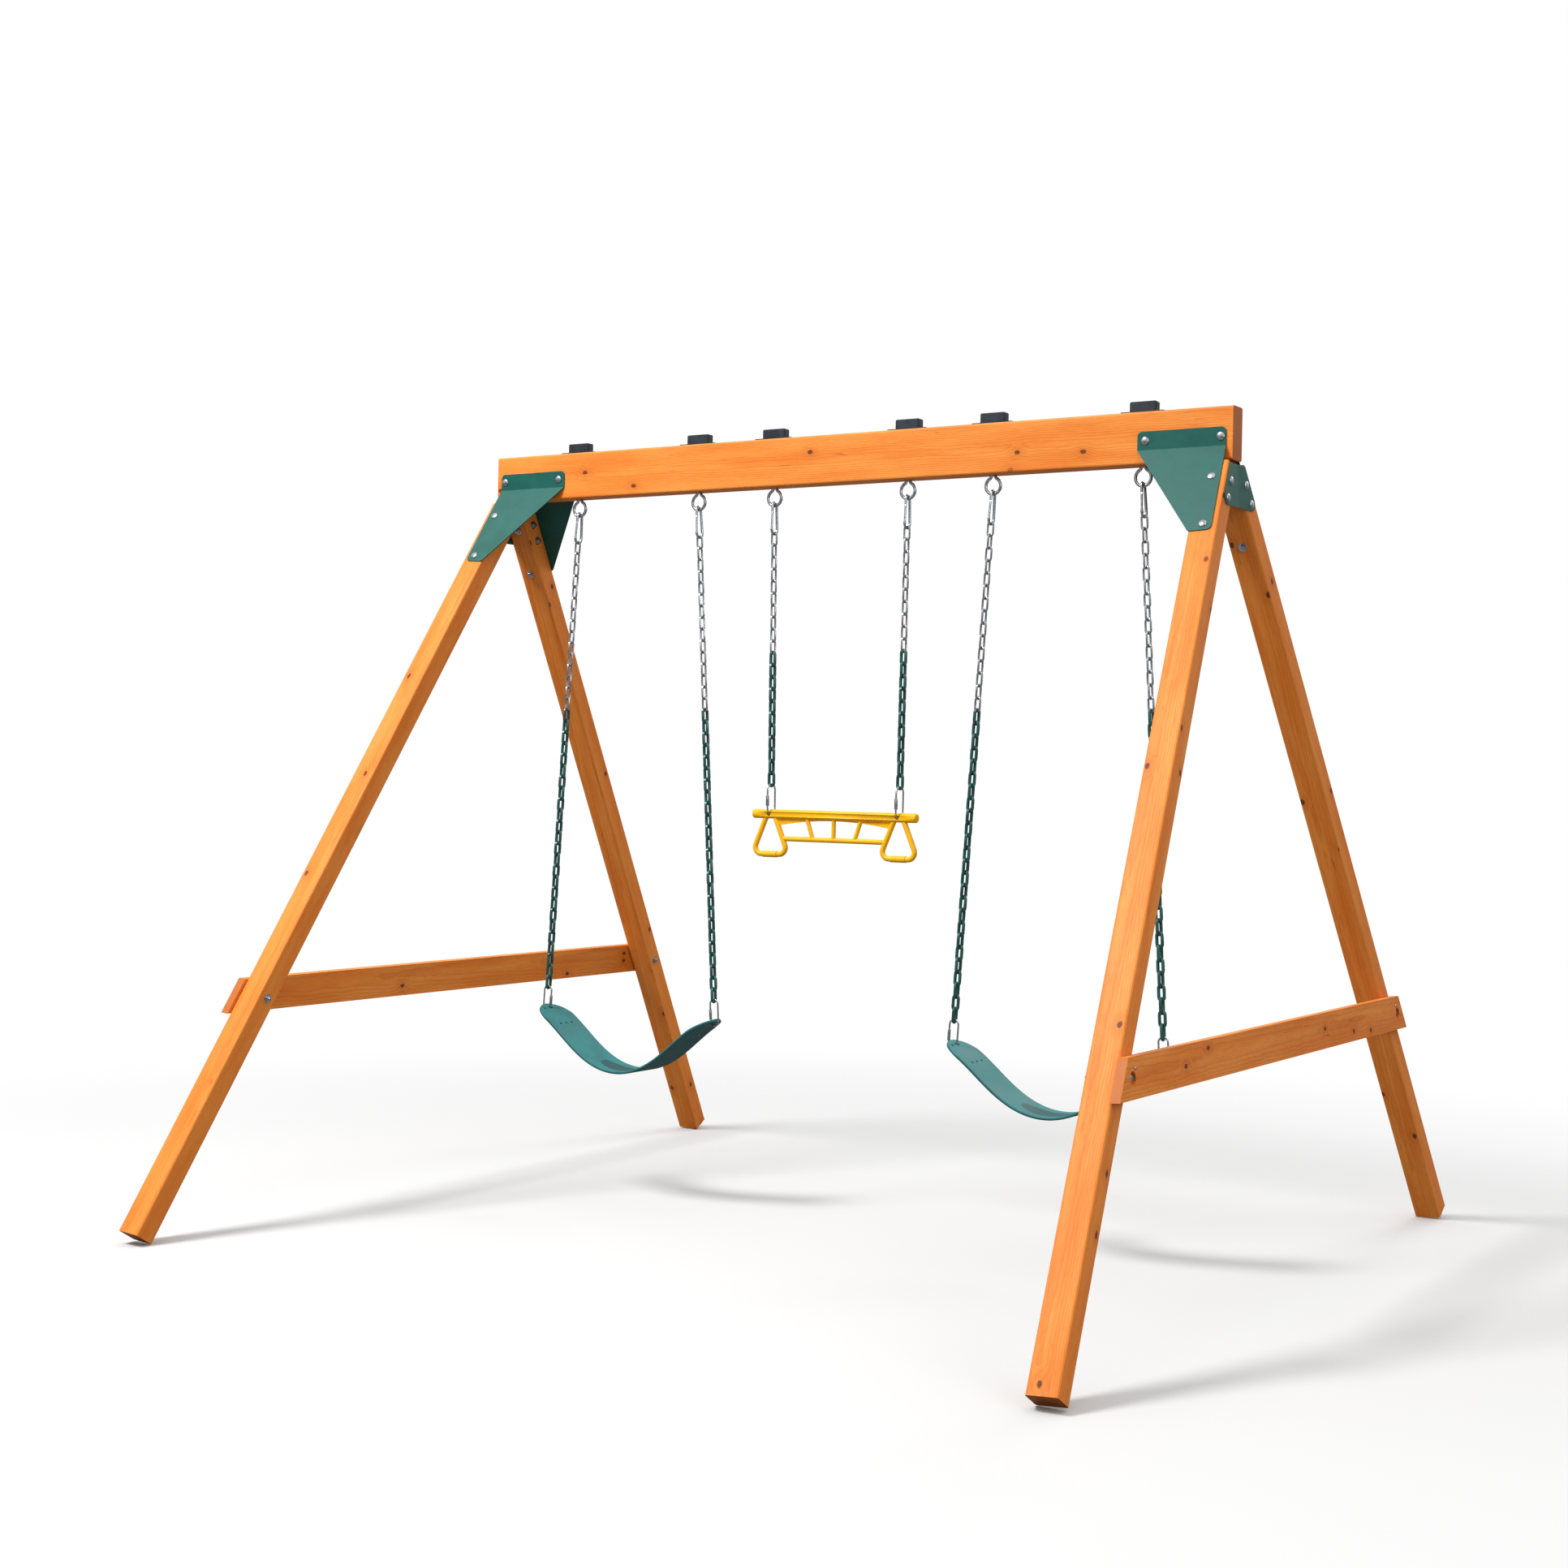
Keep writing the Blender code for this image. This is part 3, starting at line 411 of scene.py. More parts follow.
def zinc(name):
    """Bright zinc plate with faint spangle, and dulled patches with grime on them, laid by noise."""
    shader = Shader(name)
    place = shader.place()
    spangle = shader.node("ShaderNodeTexVoronoi", feature="F1")
    shader.feed(spangle.inputs["Vector"], place)
    spangle.inputs["Scale"].default_value = 420.0
    spread = shader.node("ShaderNodeSeparateColor")
    shader.feed(spread.inputs[0], spangle.outputs["Color"])
    dull = shader.noise(place, 120.0, 4.0, 0.65)
    bright = shader.mix(spread.outputs[0], colour(150, 154, 160), colour(208, 211, 216))
    grimy = shader.mix(shader.between(dull, 0.52, 0.78, 0.0, 0.5), bright, colour(92, 95, 100))
    rough = shader.between(dull, 0.25, 0.75, 0.16, 0.32)
    shader.set(Base_Color=grimy, Metallic=1.0, Roughness=rough)
    shader.bump(shader.noise(place, 1500.0, 2.0), 0.10, 0.0002)
    return shader.material


def dipped_chain(name):
    """Soft green dip coat: glossy, a little lumpy, with thinner and thicker places."""
    shader = Shader(name)
    place = shader.place()
    lumps = shader.noise(place, 260.0, 3.0, 0.55)
    thick = shader.noise(place, 60.0, 3.0, 0.5)
    shown = shader.mix(shader.between(thick, 0.3, 0.7), colour(4, 58, 54), colour(16, 92, 84))
    rough = shader.between(lumps, 0.2, 0.8, 0.24, 0.40)
    shader.set(Base_Color=shown, Roughness=rough, Specular_IOR_Level=0.55)
    shader.surface.inputs["Coat Weight"].default_value = 0.35
    shader.surface.inputs["Coat Roughness"].default_value = 0.18
    shader.bump(lumps, 0.30, 0.0005)
    return shader.material


def moulded(name, face, shade, grain_scale, rough_low, rough_high, grain_strength):
    """A moulded surface: fine texture grain, gentle mottling and dust-dulled patches."""
    shader = Shader(name)
    place = shader.place()
    grain = shader.noise(place, grain_scale, 3.0, 0.6)
    mottle = shader.noise(place, 18.0, 4.0, 0.6)
    scuff = shader.between(shader.noise(place, 45.0, 6.0, 0.8), 0.62, 0.74)
    shown = shader.mix(shader.between(mottle, 0.3, 0.7), face, shade)
    shown = shader.mix(shader.math("MULTIPLY", scuff, 0.04), shown, colour(214, 216, 214))
    rough = shader.between(mottle, 0.2, 0.8, rough_low, rough_high)
    shader.set(Base_Color=shown, Roughness=rough, Specular_IOR_Level=0.30)
    shader.bump(grain, grain_strength, 0.0004)
    return shader.material


def belt_rubber(name, middle):
    """Belt rubber with painted shade: darker in the sunk grip field, on the underside and on the cut
    edges.
    """
    material = moulded(name, colour(20, 100, 102), colour(36, 118, 118), 700.0, 0.46, 0.62, 0.28)
    shader = Shader(name, material)
    place = shader.place()
    reaches = (seat_curve(GRIP_FIELD[0])[0], GRIP_FIELD[1])
    parts = []
    for axis, centre, reach in zip((X_AXIS, Y_AXIS), (middle.x, middle.y), reaches):
        offset = shader.math("ABSOLUTE", shader.math("SUBTRACT", shader.dot(place, axis), centre))
        parts.append(shader.math("POWER", shader.math("DIVIDE", offset, reach), FIELD_SQUARENESS))
    # Painted shade: the sunk grip field is darkened as if shaded in its recess.
    field = shader.between(shader.math("ADD", *parts), 1.08, 0.92)
    # Painted shade: faces that turn down or sideways (underside, cut edges) are darkened as if shaded.
    upward = shader.dot(shader.place("Normal"), Z_AXIS)
    turned_away = shader.between(upward, 0.55, 0.10)
    sunk = shader.math("MULTIPLY", field, 0.80)
    under = shader.math("MULTIPLY", turned_away, 0.6)
    painted_shade = shader.math("MAXIMUM", sunk, under)
    plain = shader.surface.inputs["Base Color"].links[0].from_socket
    # The dark teal mixed in here is painted shade, not a different rubber colour.
    shader.set(Base_Color=shader.mix(painted_shade, plain, colour(8, 58, 62)))
    return material


# ---- mesh helpers


def make_piece(name, mesh_data, material, body, slot, *replaced):
    """An object from a bmesh, riding on a body, standing for the CAD nodes named."""
    bmesh.ops.recalc_face_normals(mesh_data, faces=mesh_data.faces)
    mesh = bpy.data.meshes.new(name)
    mesh_data.to_mesh(mesh)
    mesh_data.free()
    mesh.materials.append(material)
    mesh.shade_smooth()
    mesh.set_sharp_from_angle(angle=math.radians(38))
    piece = bpy.data.objects.new(name, mesh)
    bpy.context.collection.objects.link(piece)
    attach(piece, body)
    if replaced:
        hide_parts(*replaced)
    return piece


def skin(data, loops, closed=False):
    """Adds a skin over loops of equally many points to a bmesh, capped unless closed."""
    rows = [[data.verts.new(point) for point in loop] for loop in loops]
    pairs = list(zip(rows, rows[1:]))
    if closed:
        pairs.append((rows[-1], rows[0]))
    else:
        data.faces.new(rows[0])
        data.faces.new(rows[-1])
    for low, high in pairs:
        for i in range(len(low)):
            j = (i + 1) % len(low)
            data.faces.new((low[i], low[j], high[j], high[i]))


def ring_of(centre, across, up, radius, sides):
    """Points spaced evenly round a circle."""
    angles = [2 * math.pi * i / sides for i in range(sides)]
    return [centre + radius * (math.cos(a) * across + math.sin(a) * up) for a in angles]


def tube(data, path, normal, radius, sides=16, closed=False):
    """Adds a round tube along a path in the plane with this normal. radius is one size or one
    for each point."""
    count = len(path)
    radii = radius if isinstance(radius, list) else [radius] * count
    loops = []
    for i, point in enumerate(path):
        before = path[i - 1] if i > 0 or closed else path[i]
        after = path[(i + 1) % count] if i < count - 1 or closed else path[i]
        across = (after - before).normalized().cross(normal)
        loops.append(ring_of(point, across, normal, radii[i], sides))
    skin(data, loops, closed)


def turned(data, base, axis, profile, sides=24):
    """Adds a solid of revolution about an axis through base from (radius, height) pairs."""
    across = axis.orthogonal().normalized()
    up = axis.cross(across)
    skin(data, [ring_of(base + axis * height, across, up, radius, sides) for radius, height in profile])


def arc(centre, radius, start, end, across, up, steps=12):
    points = []
    for i in range(steps + 1):
        angle = start + (end - start) * i / steps
        points.append(centre + radius * (math.cos(angle) * across + math.sin(angle) * up))
    return points


def fillet(before, corner, after, radius, steps=8):
    """Points that round a corner."""
    to_before = (before - corner).normalized()
    to_after = (after - corner).normalized()
    half = to_before.angle(to_after) / 2
    centre = corner + (to_before + to_after).normalized() * radius / math.sin(half)
    start = corner + to_before * radius / math.tan(half) - centre
    end = corner + to_after * radius / math.tan(half) - centre
    turn = math.pi - 2 * half
    points = []
    for i in range(steps + 1):
        share = i / steps
        blend = math.sin((1 - share) * turn) * start + math.sin(share * turn) * end
        points.append(centre + blend / math.sin(turn))
    return points


# ---- hardware


def domed_head(data, base, axis, radius=HEAD_RADIUS, height=HEAD_HEIGHT):
    """A low domed bolt head with a thin flat rim."""
    rim = height * 0.18
    profile = [(radius, 0.0), (radius, rim)]
    for step in range(1, 7):
        angle = math.pi / 2 * step / 7
        profile.append((radius * math.cos(angle), rim + (height - rim) * math.sin(angle)))
    profile.append((radius * 0.05, height))
    turned(data, base, axis, profile)


def washer_and_nut(data, base, axis):
    """A washer, a hexagonal nut with a chamfered top and the end of the bolt's thread."""
    turned(data, base, axis, [(WASHER_RADIUS, 0.0), (WASHER_RADIUS, WASHER_THICKNESS)])
    seat = base + axis * WASHER_THICKNESS
    chamfer = NUT_RADIUS * 0.1
    body = [
        (NUT_RADIUS, 0.0),
        (NUT_RADIUS, NUT_HEIGHT - chamfer),
        (NUT_RADIUS - chamfer, NUT_HEIGHT),
    ]
    turned(data, seat, axis, body, sides=6)
    top = seat + axis * NUT_HEIGHT
    turned(data, top, axis, [(THREAD_RADIUS, 0.0), (THREAD_RADIUS * 0.82, THREAD_END)], sides=16)


def hex_head(data, base, axis):
    """A washer with a hexagonal bolt head on it."""
    turned(data, base, axis, [(WASHER_RADIUS, 0.0), (WASHER_RADIUS, WASHER_THICKNESS)])
    seat = base + axis * WASHER_THICKNESS
    chamfer = BRACE_HEAD_RADIUS * 0.12
    body = [
        (BRACE_HEAD_RADIUS, 0.0),
        (BRACE_HEAD_RADIUS, NUT_HEIGHT * 0.8),
        (BRACE_HEAD_RADIUS - chamfer, NUT_HEIGHT * 0.8 + chamfer),
    ]
    turned(data, seat, axis, body, sides=6)


def pan_screw(data, base, axis):
    """A pan-head screw with a recessed drive."""
    recess = SCREW_RADIUS * 0.42
    profile = [
        (SCREW_RADIUS, 0.0),
        (SCREW_RADIUS, SCREW_HEIGHT * 0.45),
        (SCREW_RADIUS * 0.82, SCREW_HEIGHT * 0.85),
        (SCREW_RADIUS * 0.55, SCREW_HEIGHT),
        (recess, SCREW_HEIGHT),
        (recess * 0.8, SCREW_HEIGHT * 0.35),
    ]
    turned(data, base, axis, profile, sides=16)


# ---- leg geometry


def leg_frame(sign_x, sign_y):
    """The outward normal of a leg's front face, its direction up and its direction to the outer
    side. sign_y is 1 for a front leg."""
    normal = Vector((0.0, -math.cos(LEG_LEAN) * sign_y, math.sin(LEG_LEAN)))
    rise = Vector((0.0, math.sin(LEG_LEAN) * sign_y, math.cos(LEG_LEAN)))
    out = X_AXIS * sign_x
    up = math.cos(LEG_SPLAY) * rise - math.sin(LEG_SPLAY) * out
    side = math.cos(LEG_SPLAY) * out + math.sin(LEG_SPLAY) * rise
    return normal, up, side


def leg_top(sign_x, sign_y):
    """The upper outer corner of a leg's front face."""
    beam_low, beam_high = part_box("beam")
    reach = POST_DEPTH * math.cos(LEG_LEAN) + LEG_BEAM_GAP
    drop = (reach - beam_high.y) * math.tan(LEG_LEAN)
    return Vector((beam_high.x * sign_x, -reach * sign_y, beam_low.z - LEG_TOP_DROP + drop))


def leg_point(sign_x, sign_y, across, down, out):
    """A point measured from a leg's upper outer corner."""
    normal, up, side = leg_frame(sign_x, sign_y)
    return leg_top(sign_x, sign_y) - across * side - down * up + out * normal


# ---- timber and plates


def timber_axes(node):
    """A timber's middle, and its directions along, across and through."""
    low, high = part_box(node)
    middle = (low + high) / 2
    if node.startswith("leg"):
        _, depth_place, side_place = node.split("_")
        sign_x = 1 if side_place == "right" else -1
        sign_y = 1 if depth_place == "front" else -1
        normal, up, side = leg_frame(sign_x, sign_y)
        return middle, up, side, normal
    if node.startswith("brace"):
        return middle, Y_AXIS, Z_AXIS, X_AXIS
    return middle, X_AXIS, Z_AXIS, Y_AXIS


def soften(node, width, segments=2):
    """Rounds a CAD node's hard edges."""
    bevel = NODES[node].modifiers.new("soft_edges", "BEVEL")
    bevel.width = width
    bevel.segments = segments
    bevel.limit_method = "ANGLE"
    bevel.angle_limit = math.radians(50)
    bevel.harden_normals = True


def repaint(node, material):
    mesh = NODES[node].data
    mesh.materials.clear()
    mesh.materials.append(material)


def dress_timber():
    timbers = ["beam"]
    timbers += ["leg_" + place for place in ("front_left", "front_right", "rear_left", "rear_right")]
    timbers += ["brace_left", "brace_right"]
    for seed, node in enumerate(timbers):
        middle, along, across, depth = timber_axes(node)
        repaint(node, wood("wood_" + node, middle, along, across, depth, 11 + 7 * seed))
        soften(node, 0.0025 if node.startswith("brace") else 0.0012)


def dress_plates(steel):
    for node in NODES:
        if node.startswith(("corner_plate", "end_plate")):
            repaint(node, steel)
            soften(node, 0.0007)


def corner_bolts(sign_x, sign_y, name, metal):
    """Heads on a corner plate, and the nuts on the leg's inner face."""
    data = bmesh.new()
    low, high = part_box("corner_plate_" + name)
    _, beam_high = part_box("beam")
    strip_y = -(beam_high.y + PLATE_THICKNESS + HARDWARE_GAP) * sign_y
    inner_x, outer_x = (low.x, high.x) if sign_x > 0 else (high.x, low.x)
    level = high.z - STRIP_HEIGHT / 2
    out_y = -Y_AXIS * sign_y
    for x in (inner_x + sign_x * STRIP_BOLT_INNER, outer_x - sign_x * STRIP_BOLT_OUTER):
        domed_head(data, Vector((x, strip_y, level)), out_y)
    normal, _, _ = leg_frame(sign_x, sign_y)
    for drop in LEG_BOLT_DROPS:
        head = leg_point(sign_x, sign_y, POST_WIDTH / 2, drop, PLATE_THICKNESS + HARDWARE_GAP)
        domed_head(data, head, normal)
        inner = leg_point(sign_x, sign_y, POST_WIDTH / 2, drop, -POST_DEPTH)
        washer_and_nut(data, inner, -normal)
    make_piece("corner_bolts_" + name, data, metal, "frame", "zinc")


def end_bolts(sign_x, name, metal):
    """Four heads on an end plate."""
    data = bmesh.new()
    for sign_y in (1, -1):
        _, _, side = leg_frame(sign_x, sign_y)
        for down in END_BOLT_DROPS:
            centre = leg_point(sign_x, sign_y, 0.0, down, -POST_DEPTH / 2)
            domed_head(data, centre + side * (PLATE_THICKNESS + HARDWARE_GAP), side)
            inner = leg_point(sign_x, sign_y, POST_WIDTH, down, -POST_DEPTH / 2)
            washer_and_nut(data, inner, -side)
    make_piece("end_bolts_" + name, data, metal, "frame", "zinc")


def brace_bolts(sign_x, name, metal):
    """A counterbored bolt and two screws at each end of a brace, with the nut inside the leg."""
    data = bmesh.new()
    low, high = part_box("brace_" + name)
    level = (low.z + high.z) / 2
    out = X_AXIS * sign_x
    for sign_y in (1, -1):
        _, up, side = leg_frame(sign_x, sign_y)
        down = (leg_top(sign_x, sign_y).z - level) / up.z
        spot = leg_point(sign_x, sign_y, 0.0, down, -POST_DEPTH / 2)
        spot += up * (level - spot.z) / up.z
        hex_head(data, spot + out * (BRACE_THICKNESS - COUNTERBORE_DEPTH + HARDWARE_GAP), out)
        rake = Vector((0.0, up.y, up.z)).normalized()
        for direction in (-1, 1):
            screw = spot + rake * direction * BRACE_SCREW_OFFSET
            pan_screw(data, screw + out * (BRACE_THICKNESS + HARDWARE_GAP), out)
        washer_and_nut(data, spot - side * POST_WIDTH, -side)
    make_piece("brace_bolts_" + name, data, metal, "frame", "zinc")


def dress_caps(metal, plastic):
    for station in STATIONS:
        node = "beam_cap_" + station
        repaint(node, plastic)
        soften(node, 0.0008)
        low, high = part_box(node)
        middle = (low + high) / 2
        data = bmesh.new()
        for side in (-1, 1):
            x = middle.x + side * ((high.x - low.x) / 2 - CAP_SCREW_INSET)
            pan_screw(data, Vector((x, middle.y, low.z + CAP_SCREW_RISE)), Z_AXIS)
        make_piece("cap_screws_" + station, data, metal, "frame", "zinc")


# ---- hangers


class Hanger:
    """The line that a chain hangs along: local Z runs up it and local X across the swing."""

    def __init__(self, station):
        self.station = station
        self.kind, self.side, self.mouth = STATIONS[station]
        self.swing = station[:-2]
        self.body = self.swing + "_chains"
        low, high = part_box("eye_bolt_" + station)
        self.eye = Vector(((low.x + high.x) / 2, 0.0, low.z + EYE_WIRE + EYE_RADIUS))
        self.pivot = self.eye - EYE_RADIUS * Z_AXIS
        self.up = Vector(JOINTS["sleeve_" + station]["axis"]).normalized()
        self.right = Y_AXIS.cross(self.up)

    def point(self, x, y, z):
        return self.pivot + x * self.right + y * Y_AXIS + z * self.up

    def place(self, spot):
        return self.point(spot.x, spot.y, spot.z)


def make_eye(hanger, metal):
    """A forged ring that necks in to its shank under the beam; washer and nut are above."""
    data = bmesh.new()
    centre = hanger.eye
    start = math.pi / 2 + EYE_GAP
    path = arc(centre, EYE_RADIUS, start, start + 2 * (math.pi - EYE_GAP), X_AXIS, Z_AXIS, 40)
    beam_low, beam_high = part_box("beam")
    neck = Vector((centre.x, 0.0, beam_low.z + EYE_TIP_RISE))
    tips = [neck + X_AXIS * side * EYE_TIP_HALF for side in (-1, 1)]
    tube(data, [tips[0], *path, tips[1]], Y_AXIS, EYE_WIRE, 16)
    _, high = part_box("eye_bolt_" + hanger.station)
    shank = Vector((centre.x, 0.0, 0.0))
    seat = beam_high.z + HARDWARE_GAP
    nut = seat + EYE_WASHER_THICKNESS
    rod = [(EYE_WIRE, beam_low.z - EYE_SHANK_DROP), (EYE_WIRE, high.z)]
    turned(data, shank, Z_AXIS, rod, sides=16)
    turned(data, shank, Z_AXIS, [(EYE_WASHER_RADIUS, seat), (EYE_WASHER_RADIUS, nut)])
    nut_profile = [(EYE_NUT_RADIUS, nut), (EYE_NUT_RADIUS, high.z - EYE_THREAD_END)]
    turned(data, shank, Z_AXIS, nut_profile, sides=6)
    name = "eye_bolt_" + hanger.station
    make_piece("forged_" + name, data, metal, "frame", "zinc", name)


def hook_shape():
    """The middle lines of a snap hook's top and bottom bends and the slope of its sides."""
    crest = EYE_WIRE + PIVOT_GAP + HOOK_WIRE
    top = crest - HOOK_TOP_RADIUS
    bottom = crest + 2 * HOOK_WIRE - HOOK_LENGTH + HOOK_BOTTOM_RADIUS
    flare = math.asin((HOOK_BOTTOM_RADIUS - HOOK_TOP_RADIUS) / (top - bottom))
    return crest, top, bottom, flare


def hook_front(depth):
    """The point on a hook's front side at a depth below its top."""
    crest, top, bottom, flare = hook_shape()
    start = Vector((0.0, -HOOK_TOP_RADIUS * math.cos(flare), top + HOOK_TOP_RADIUS * math.sin(flare)))
    end_level = bottom + HOOK_BOTTOM_RADIUS * math.sin(flare)
    end = Vector((0.0, -HOOK_BOTTOM_RADIUS * math.cos(flare), end_level))
    level = crest + HOOK_WIRE - depth
    return start + (end - start) * (start.z - level) / (start.z - end.z)


def make_snap_hook(hanger, metal):
    """A forged pear-shaped snap hook with a pinned gate that closes on a notched nose."""
    _, top, bottom, flare = hook_shape()
    back = -Y_AXIS
    hinge = hook_front(GATE_DEPTH)
    nose = hook_front(GATE_DEPTH + GATE_LENGTH)
    along = (nose - hinge).normalized()
    path = [hinge - (GATE_WIRE + GATE_CLEARANCE) * along]
    path += arc(top * Z_AXIS, HOOK_TOP_RADIUS, flare, math.pi - flare, back, Z_AXIS, 16)
    turn_end = 2 * math.pi + flare
    path += arc(bottom * Z_AXIS, HOOK_BOTTOM_RADIUS, math.pi - flare, turn_end, back, Z_AXIS, 18)
    path.append(nose + GATE_CLEARANCE * along)
    radii = [HOOK_WIRE] * len(path)
    radii[0] = HOOK_WIRE * 0.9
    radii[-1] = HOOK_WIRE * 0.82
    data = bmesh.new()
    tube(data, [hanger.place(p) for p in path], hanger.right, radii, 16)
    node = "snap_hook_" + hanger.station
    make_piece("forged_" + node, data, metal, hanger.body, "zinc", node)

    gate = bmesh.new()
    steps = 14
    heel = hinge - along * GATE_HEEL
    reach = GATE_LENGTH + GATE_HEEL
    gate_path = [heel + along * reach * i / steps for i in range(steps + 1)]
    gate_radii = [GATE_WIRE] * len(gate_path)
    gate_radii[0] = GATE_WIRE * 0.55
    gate_radii[1] = GATE_WIRE * 0.95
    gate_radii[-1] = GATE_WIRE * 0.92
    gate_radii[-3] = GATE_WIRE * 0.80
    tube(gate, [hanger.place(p) for p in gate_path], hanger.right, gate_radii, 14)
    pin_half = GATE_WIRE + GATE_CLEARANCE
    pin = hanger.place(hinge) - hanger.right * pin_half
    turned(gate, pin, hanger.right, [(GATE_PIN_RADIUS, 0.0), (GATE_PIN_RADIUS, 2 * pin_half)], 12)
    node = "hook_gate_" + hanger.station
    make_piece("forged_" + node, gate, metal, "gate_" + hanger.station, "zinc", node)


def link_levels(hanger):
    """How far below the pivot a quick link's top wire and its two bends lie."""
    sleeve_low, sleeve_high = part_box("link_sleeve_" + hanger.station)
    radius = LINK_RADII[hanger.kind]
    middle = (sleeve_low + sleeve_high) / 2
    level = (middle - hanger.pivot).dot(hanger.up)
    low = level - SLEEVE_LEVEL
    return low, low + LINK_STRAIGHT, radius


def make_quick_link(hanger, metal):
    """An oval quick link of round wire with a threaded mouth, and its hexagonal sleeve nut."""
    low, high, radius = link_levels(hanger)
    plane_side = hanger.mouth * hanger.right if hanger.kind == "belt" else -Y_AXIS
    normal = plane_side.cross(hanger.up)
    high_bend = hanger.point(0.0, 0.0, high)
    low_bend = hanger.point(0.0, 0.0, low)
    mouth_low = low_bend + radius * plane_side + hanger.up * (LINK_MOUTH_LEVEL - LINK_MOUTH / 2)
    mouth_high = mouth_low + hanger.up * LINK_MOUTH
    path = [mouth_high]
    path += arc(high_bend, radius, 0.0, math.pi, plane_side, hanger.up, 18)
    path += arc(low_bend, radius, math.pi, 2 * math.pi, plane_side, hanger.up, 18)
    path.append(mouth_low)
    data = bmesh.new()
    tube(data, path, normal, LINK_WIRE, 14)
    node = "quick_link_" + hanger.station
    make_piece("bent_" + node, data, metal, hanger.body, "zinc", node)

    sleeve = bmesh.new()
    centre = low_bend + radius * plane_side + hanger.up * SLEEVE_LEVEL
    corner = SLEEVE_FLAT / math.cos(math.pi / 6)
    half = SLEEVE_LENGTH / 2
    end = corner * 0.90
    flat_half = half - SLEEVE_CHAMFER
    profile = [(SLEEVE_BORE, -half), (end, -half), (corner, -flat_half)]
    profile += [(corner, flat_half), (end, half), (SLEEVE_BORE, half)]
    loops = []
    for size, height in profile:
        loops.append(ring_of(centre + hanger.up * height, plane_side, normal, size, 6))
    skin(sleeve, loops, closed=True)
    make_piece("threaded_sleeve_" + hanger.station, sleeve, metal, "sleeve_" + hanger.station, "zinc",
               "link_sleeve_" + hanger.station)


def add_chain_link(data, centre, up, flat, half_length, half_width, wire, sides):
    """One oval link: centre, direction along it, direction across its flat opening."""
    normal = up.cross(flat)
    straight = half_length - half_width
    path = arc(centre + up * straight, half_width, 0.0, math.pi, flat, up, 6)
    path += arc(centre - up * straight, half_width, math.pi, 2 * math.pi, flat, up, 6)
    tube(data, path, normal, wire, sides, closed=True)


def make_chain(hanger, bare_metal, coated):
    """Welded links from the hook's bend to the quick link's, bare above and dip-coated below."""
    crest, _, _, _ = hook_shape()
    hook_inside = crest - HOOK_LENGTH + 3 * HOOK_WIRE
    first = hook_inside + BARE_WIRE
    _, high, radius = link_levels(hanger)
    last = high + radius - LINK_WIRE - COATED_WIRE
    span = first - last
    count = round((span - 2 * BARE_WIRE) / CHAIN_PITCH)
    pitch = (span - 2 * BARE_WIRE) / count
    bare_count = round(BARE_LENGTHS[hanger.kind] / pitch)
    draw = random.Random(hanger.station)
    bare_part = bmesh.new()
    coated_part = bmesh.new()
    turned_first = (count - 1) % 2 == (0 if hanger.kind == "belt" else 1)
    start_turn = math.pi / 2 if turned_first else 0.0
    half_length = pitch / 2 + BARE_WIRE
    for i in range(count):
        share = (i + 0.5) / count
        settled = min(1.0, TWIST_RAMP * share, TWIST_RAMP * (1.0 - share))
        turn = start_turn + math.pi / 2 * (i % 2) + CHAIN_TWIST * settled
        turn += draw.uniform(-LINK_JITTER, LINK_JITTER)
        flat = math.cos(turn) * hanger.right + math.sin(turn) * Y_AXIS
        centre = hanger.point(0.0, 0.0, first - BARE_WIRE - (i + 0.5) * pitch)
        part, wire = (bare_part, BARE_WIRE) if i < bare_count else (coated_part, COATED_WIRE)
        add_chain_link(part, centre, hanger.up, flat, half_length, CHAIN_HALF_WIDTH, wire, 8)
    node = "chain_" + hanger.station
    make_piece("bare_" + node, bare_part, bare_metal, hanger.body, "zinc", node)
    make_piece("coated_" + node, coated_part, coated, hanger.body, "chain", node)


# ---- belt seats


def seat_curve(distance, steps=48):
    """How far out and up a belt has come at a distance from its lowest point, and its slope."""
    out = 0.0
    rise = 0.0
    wave = 1.25 * SEAT_LENGTH / 2
    for i in range(steps):
        slope = SEAT_SLOPE * math.sin(math.pi * distance * (i + 0.5) / steps / wave)
        out += math.cos(slope) * distance / steps
        rise += math.sin(slope) * distance / steps
    return out, rise, SEAT_SLOPE * math.sin(math.pi * distance / wave)


def seat_point(distance, y, lift, lowest):
    """A point on the belt at a distance along it, y across it and lift off its middle layer."""
    out, rise, slope = seat_curve(abs(distance))
    side = math.copysign(1.0, distance)
    up = Vector((-side * math.sin(slope), 0.0, math.cos(slope)))
    return lowest + Vector((side * out, y, rise)) + up * lift


def seat_relief(distance, across):
    """How far the top stands above the plain belt: a raised edge, a sunk grip field with small
    studs in the middle, and a boss round each end hole."""
    edge = SEAT_WIDTH / 2 - abs(across)
    end = SEAT_LENGTH / 2 - abs(distance)
    along = abs(distance) / GRIP_FIELD[0]
    field = along ** FIELD_SQUARENESS + (abs(across) / GRIP_FIELD[1]) ** FIELD_SQUARENESS
    sunk = -FIELD_DEPTH if field < 1.0 else 0.0
    studs = 0.0
    if field < 0.94:
        wave = math.cos(distance * STUD_WAVE) * math.cos(across * STUD_WAVE)
        studs = STUD_HEIGHT * max(0.0, wave)
    reach = math.hypot(abs(distance) - (SEAT_LENGTH / 2 - SEAT_END_MARGIN), across)
    boss = 0.0 if reach > GROMMET_RADIUS + GROMMET_RIM else RELIEF_TOP
    border = BORDER_HEIGHT if min(edge, end) < BORDER_WIDTH else 0.0
    return min(sunk + studs + boss + border, RELIEF_TOP)


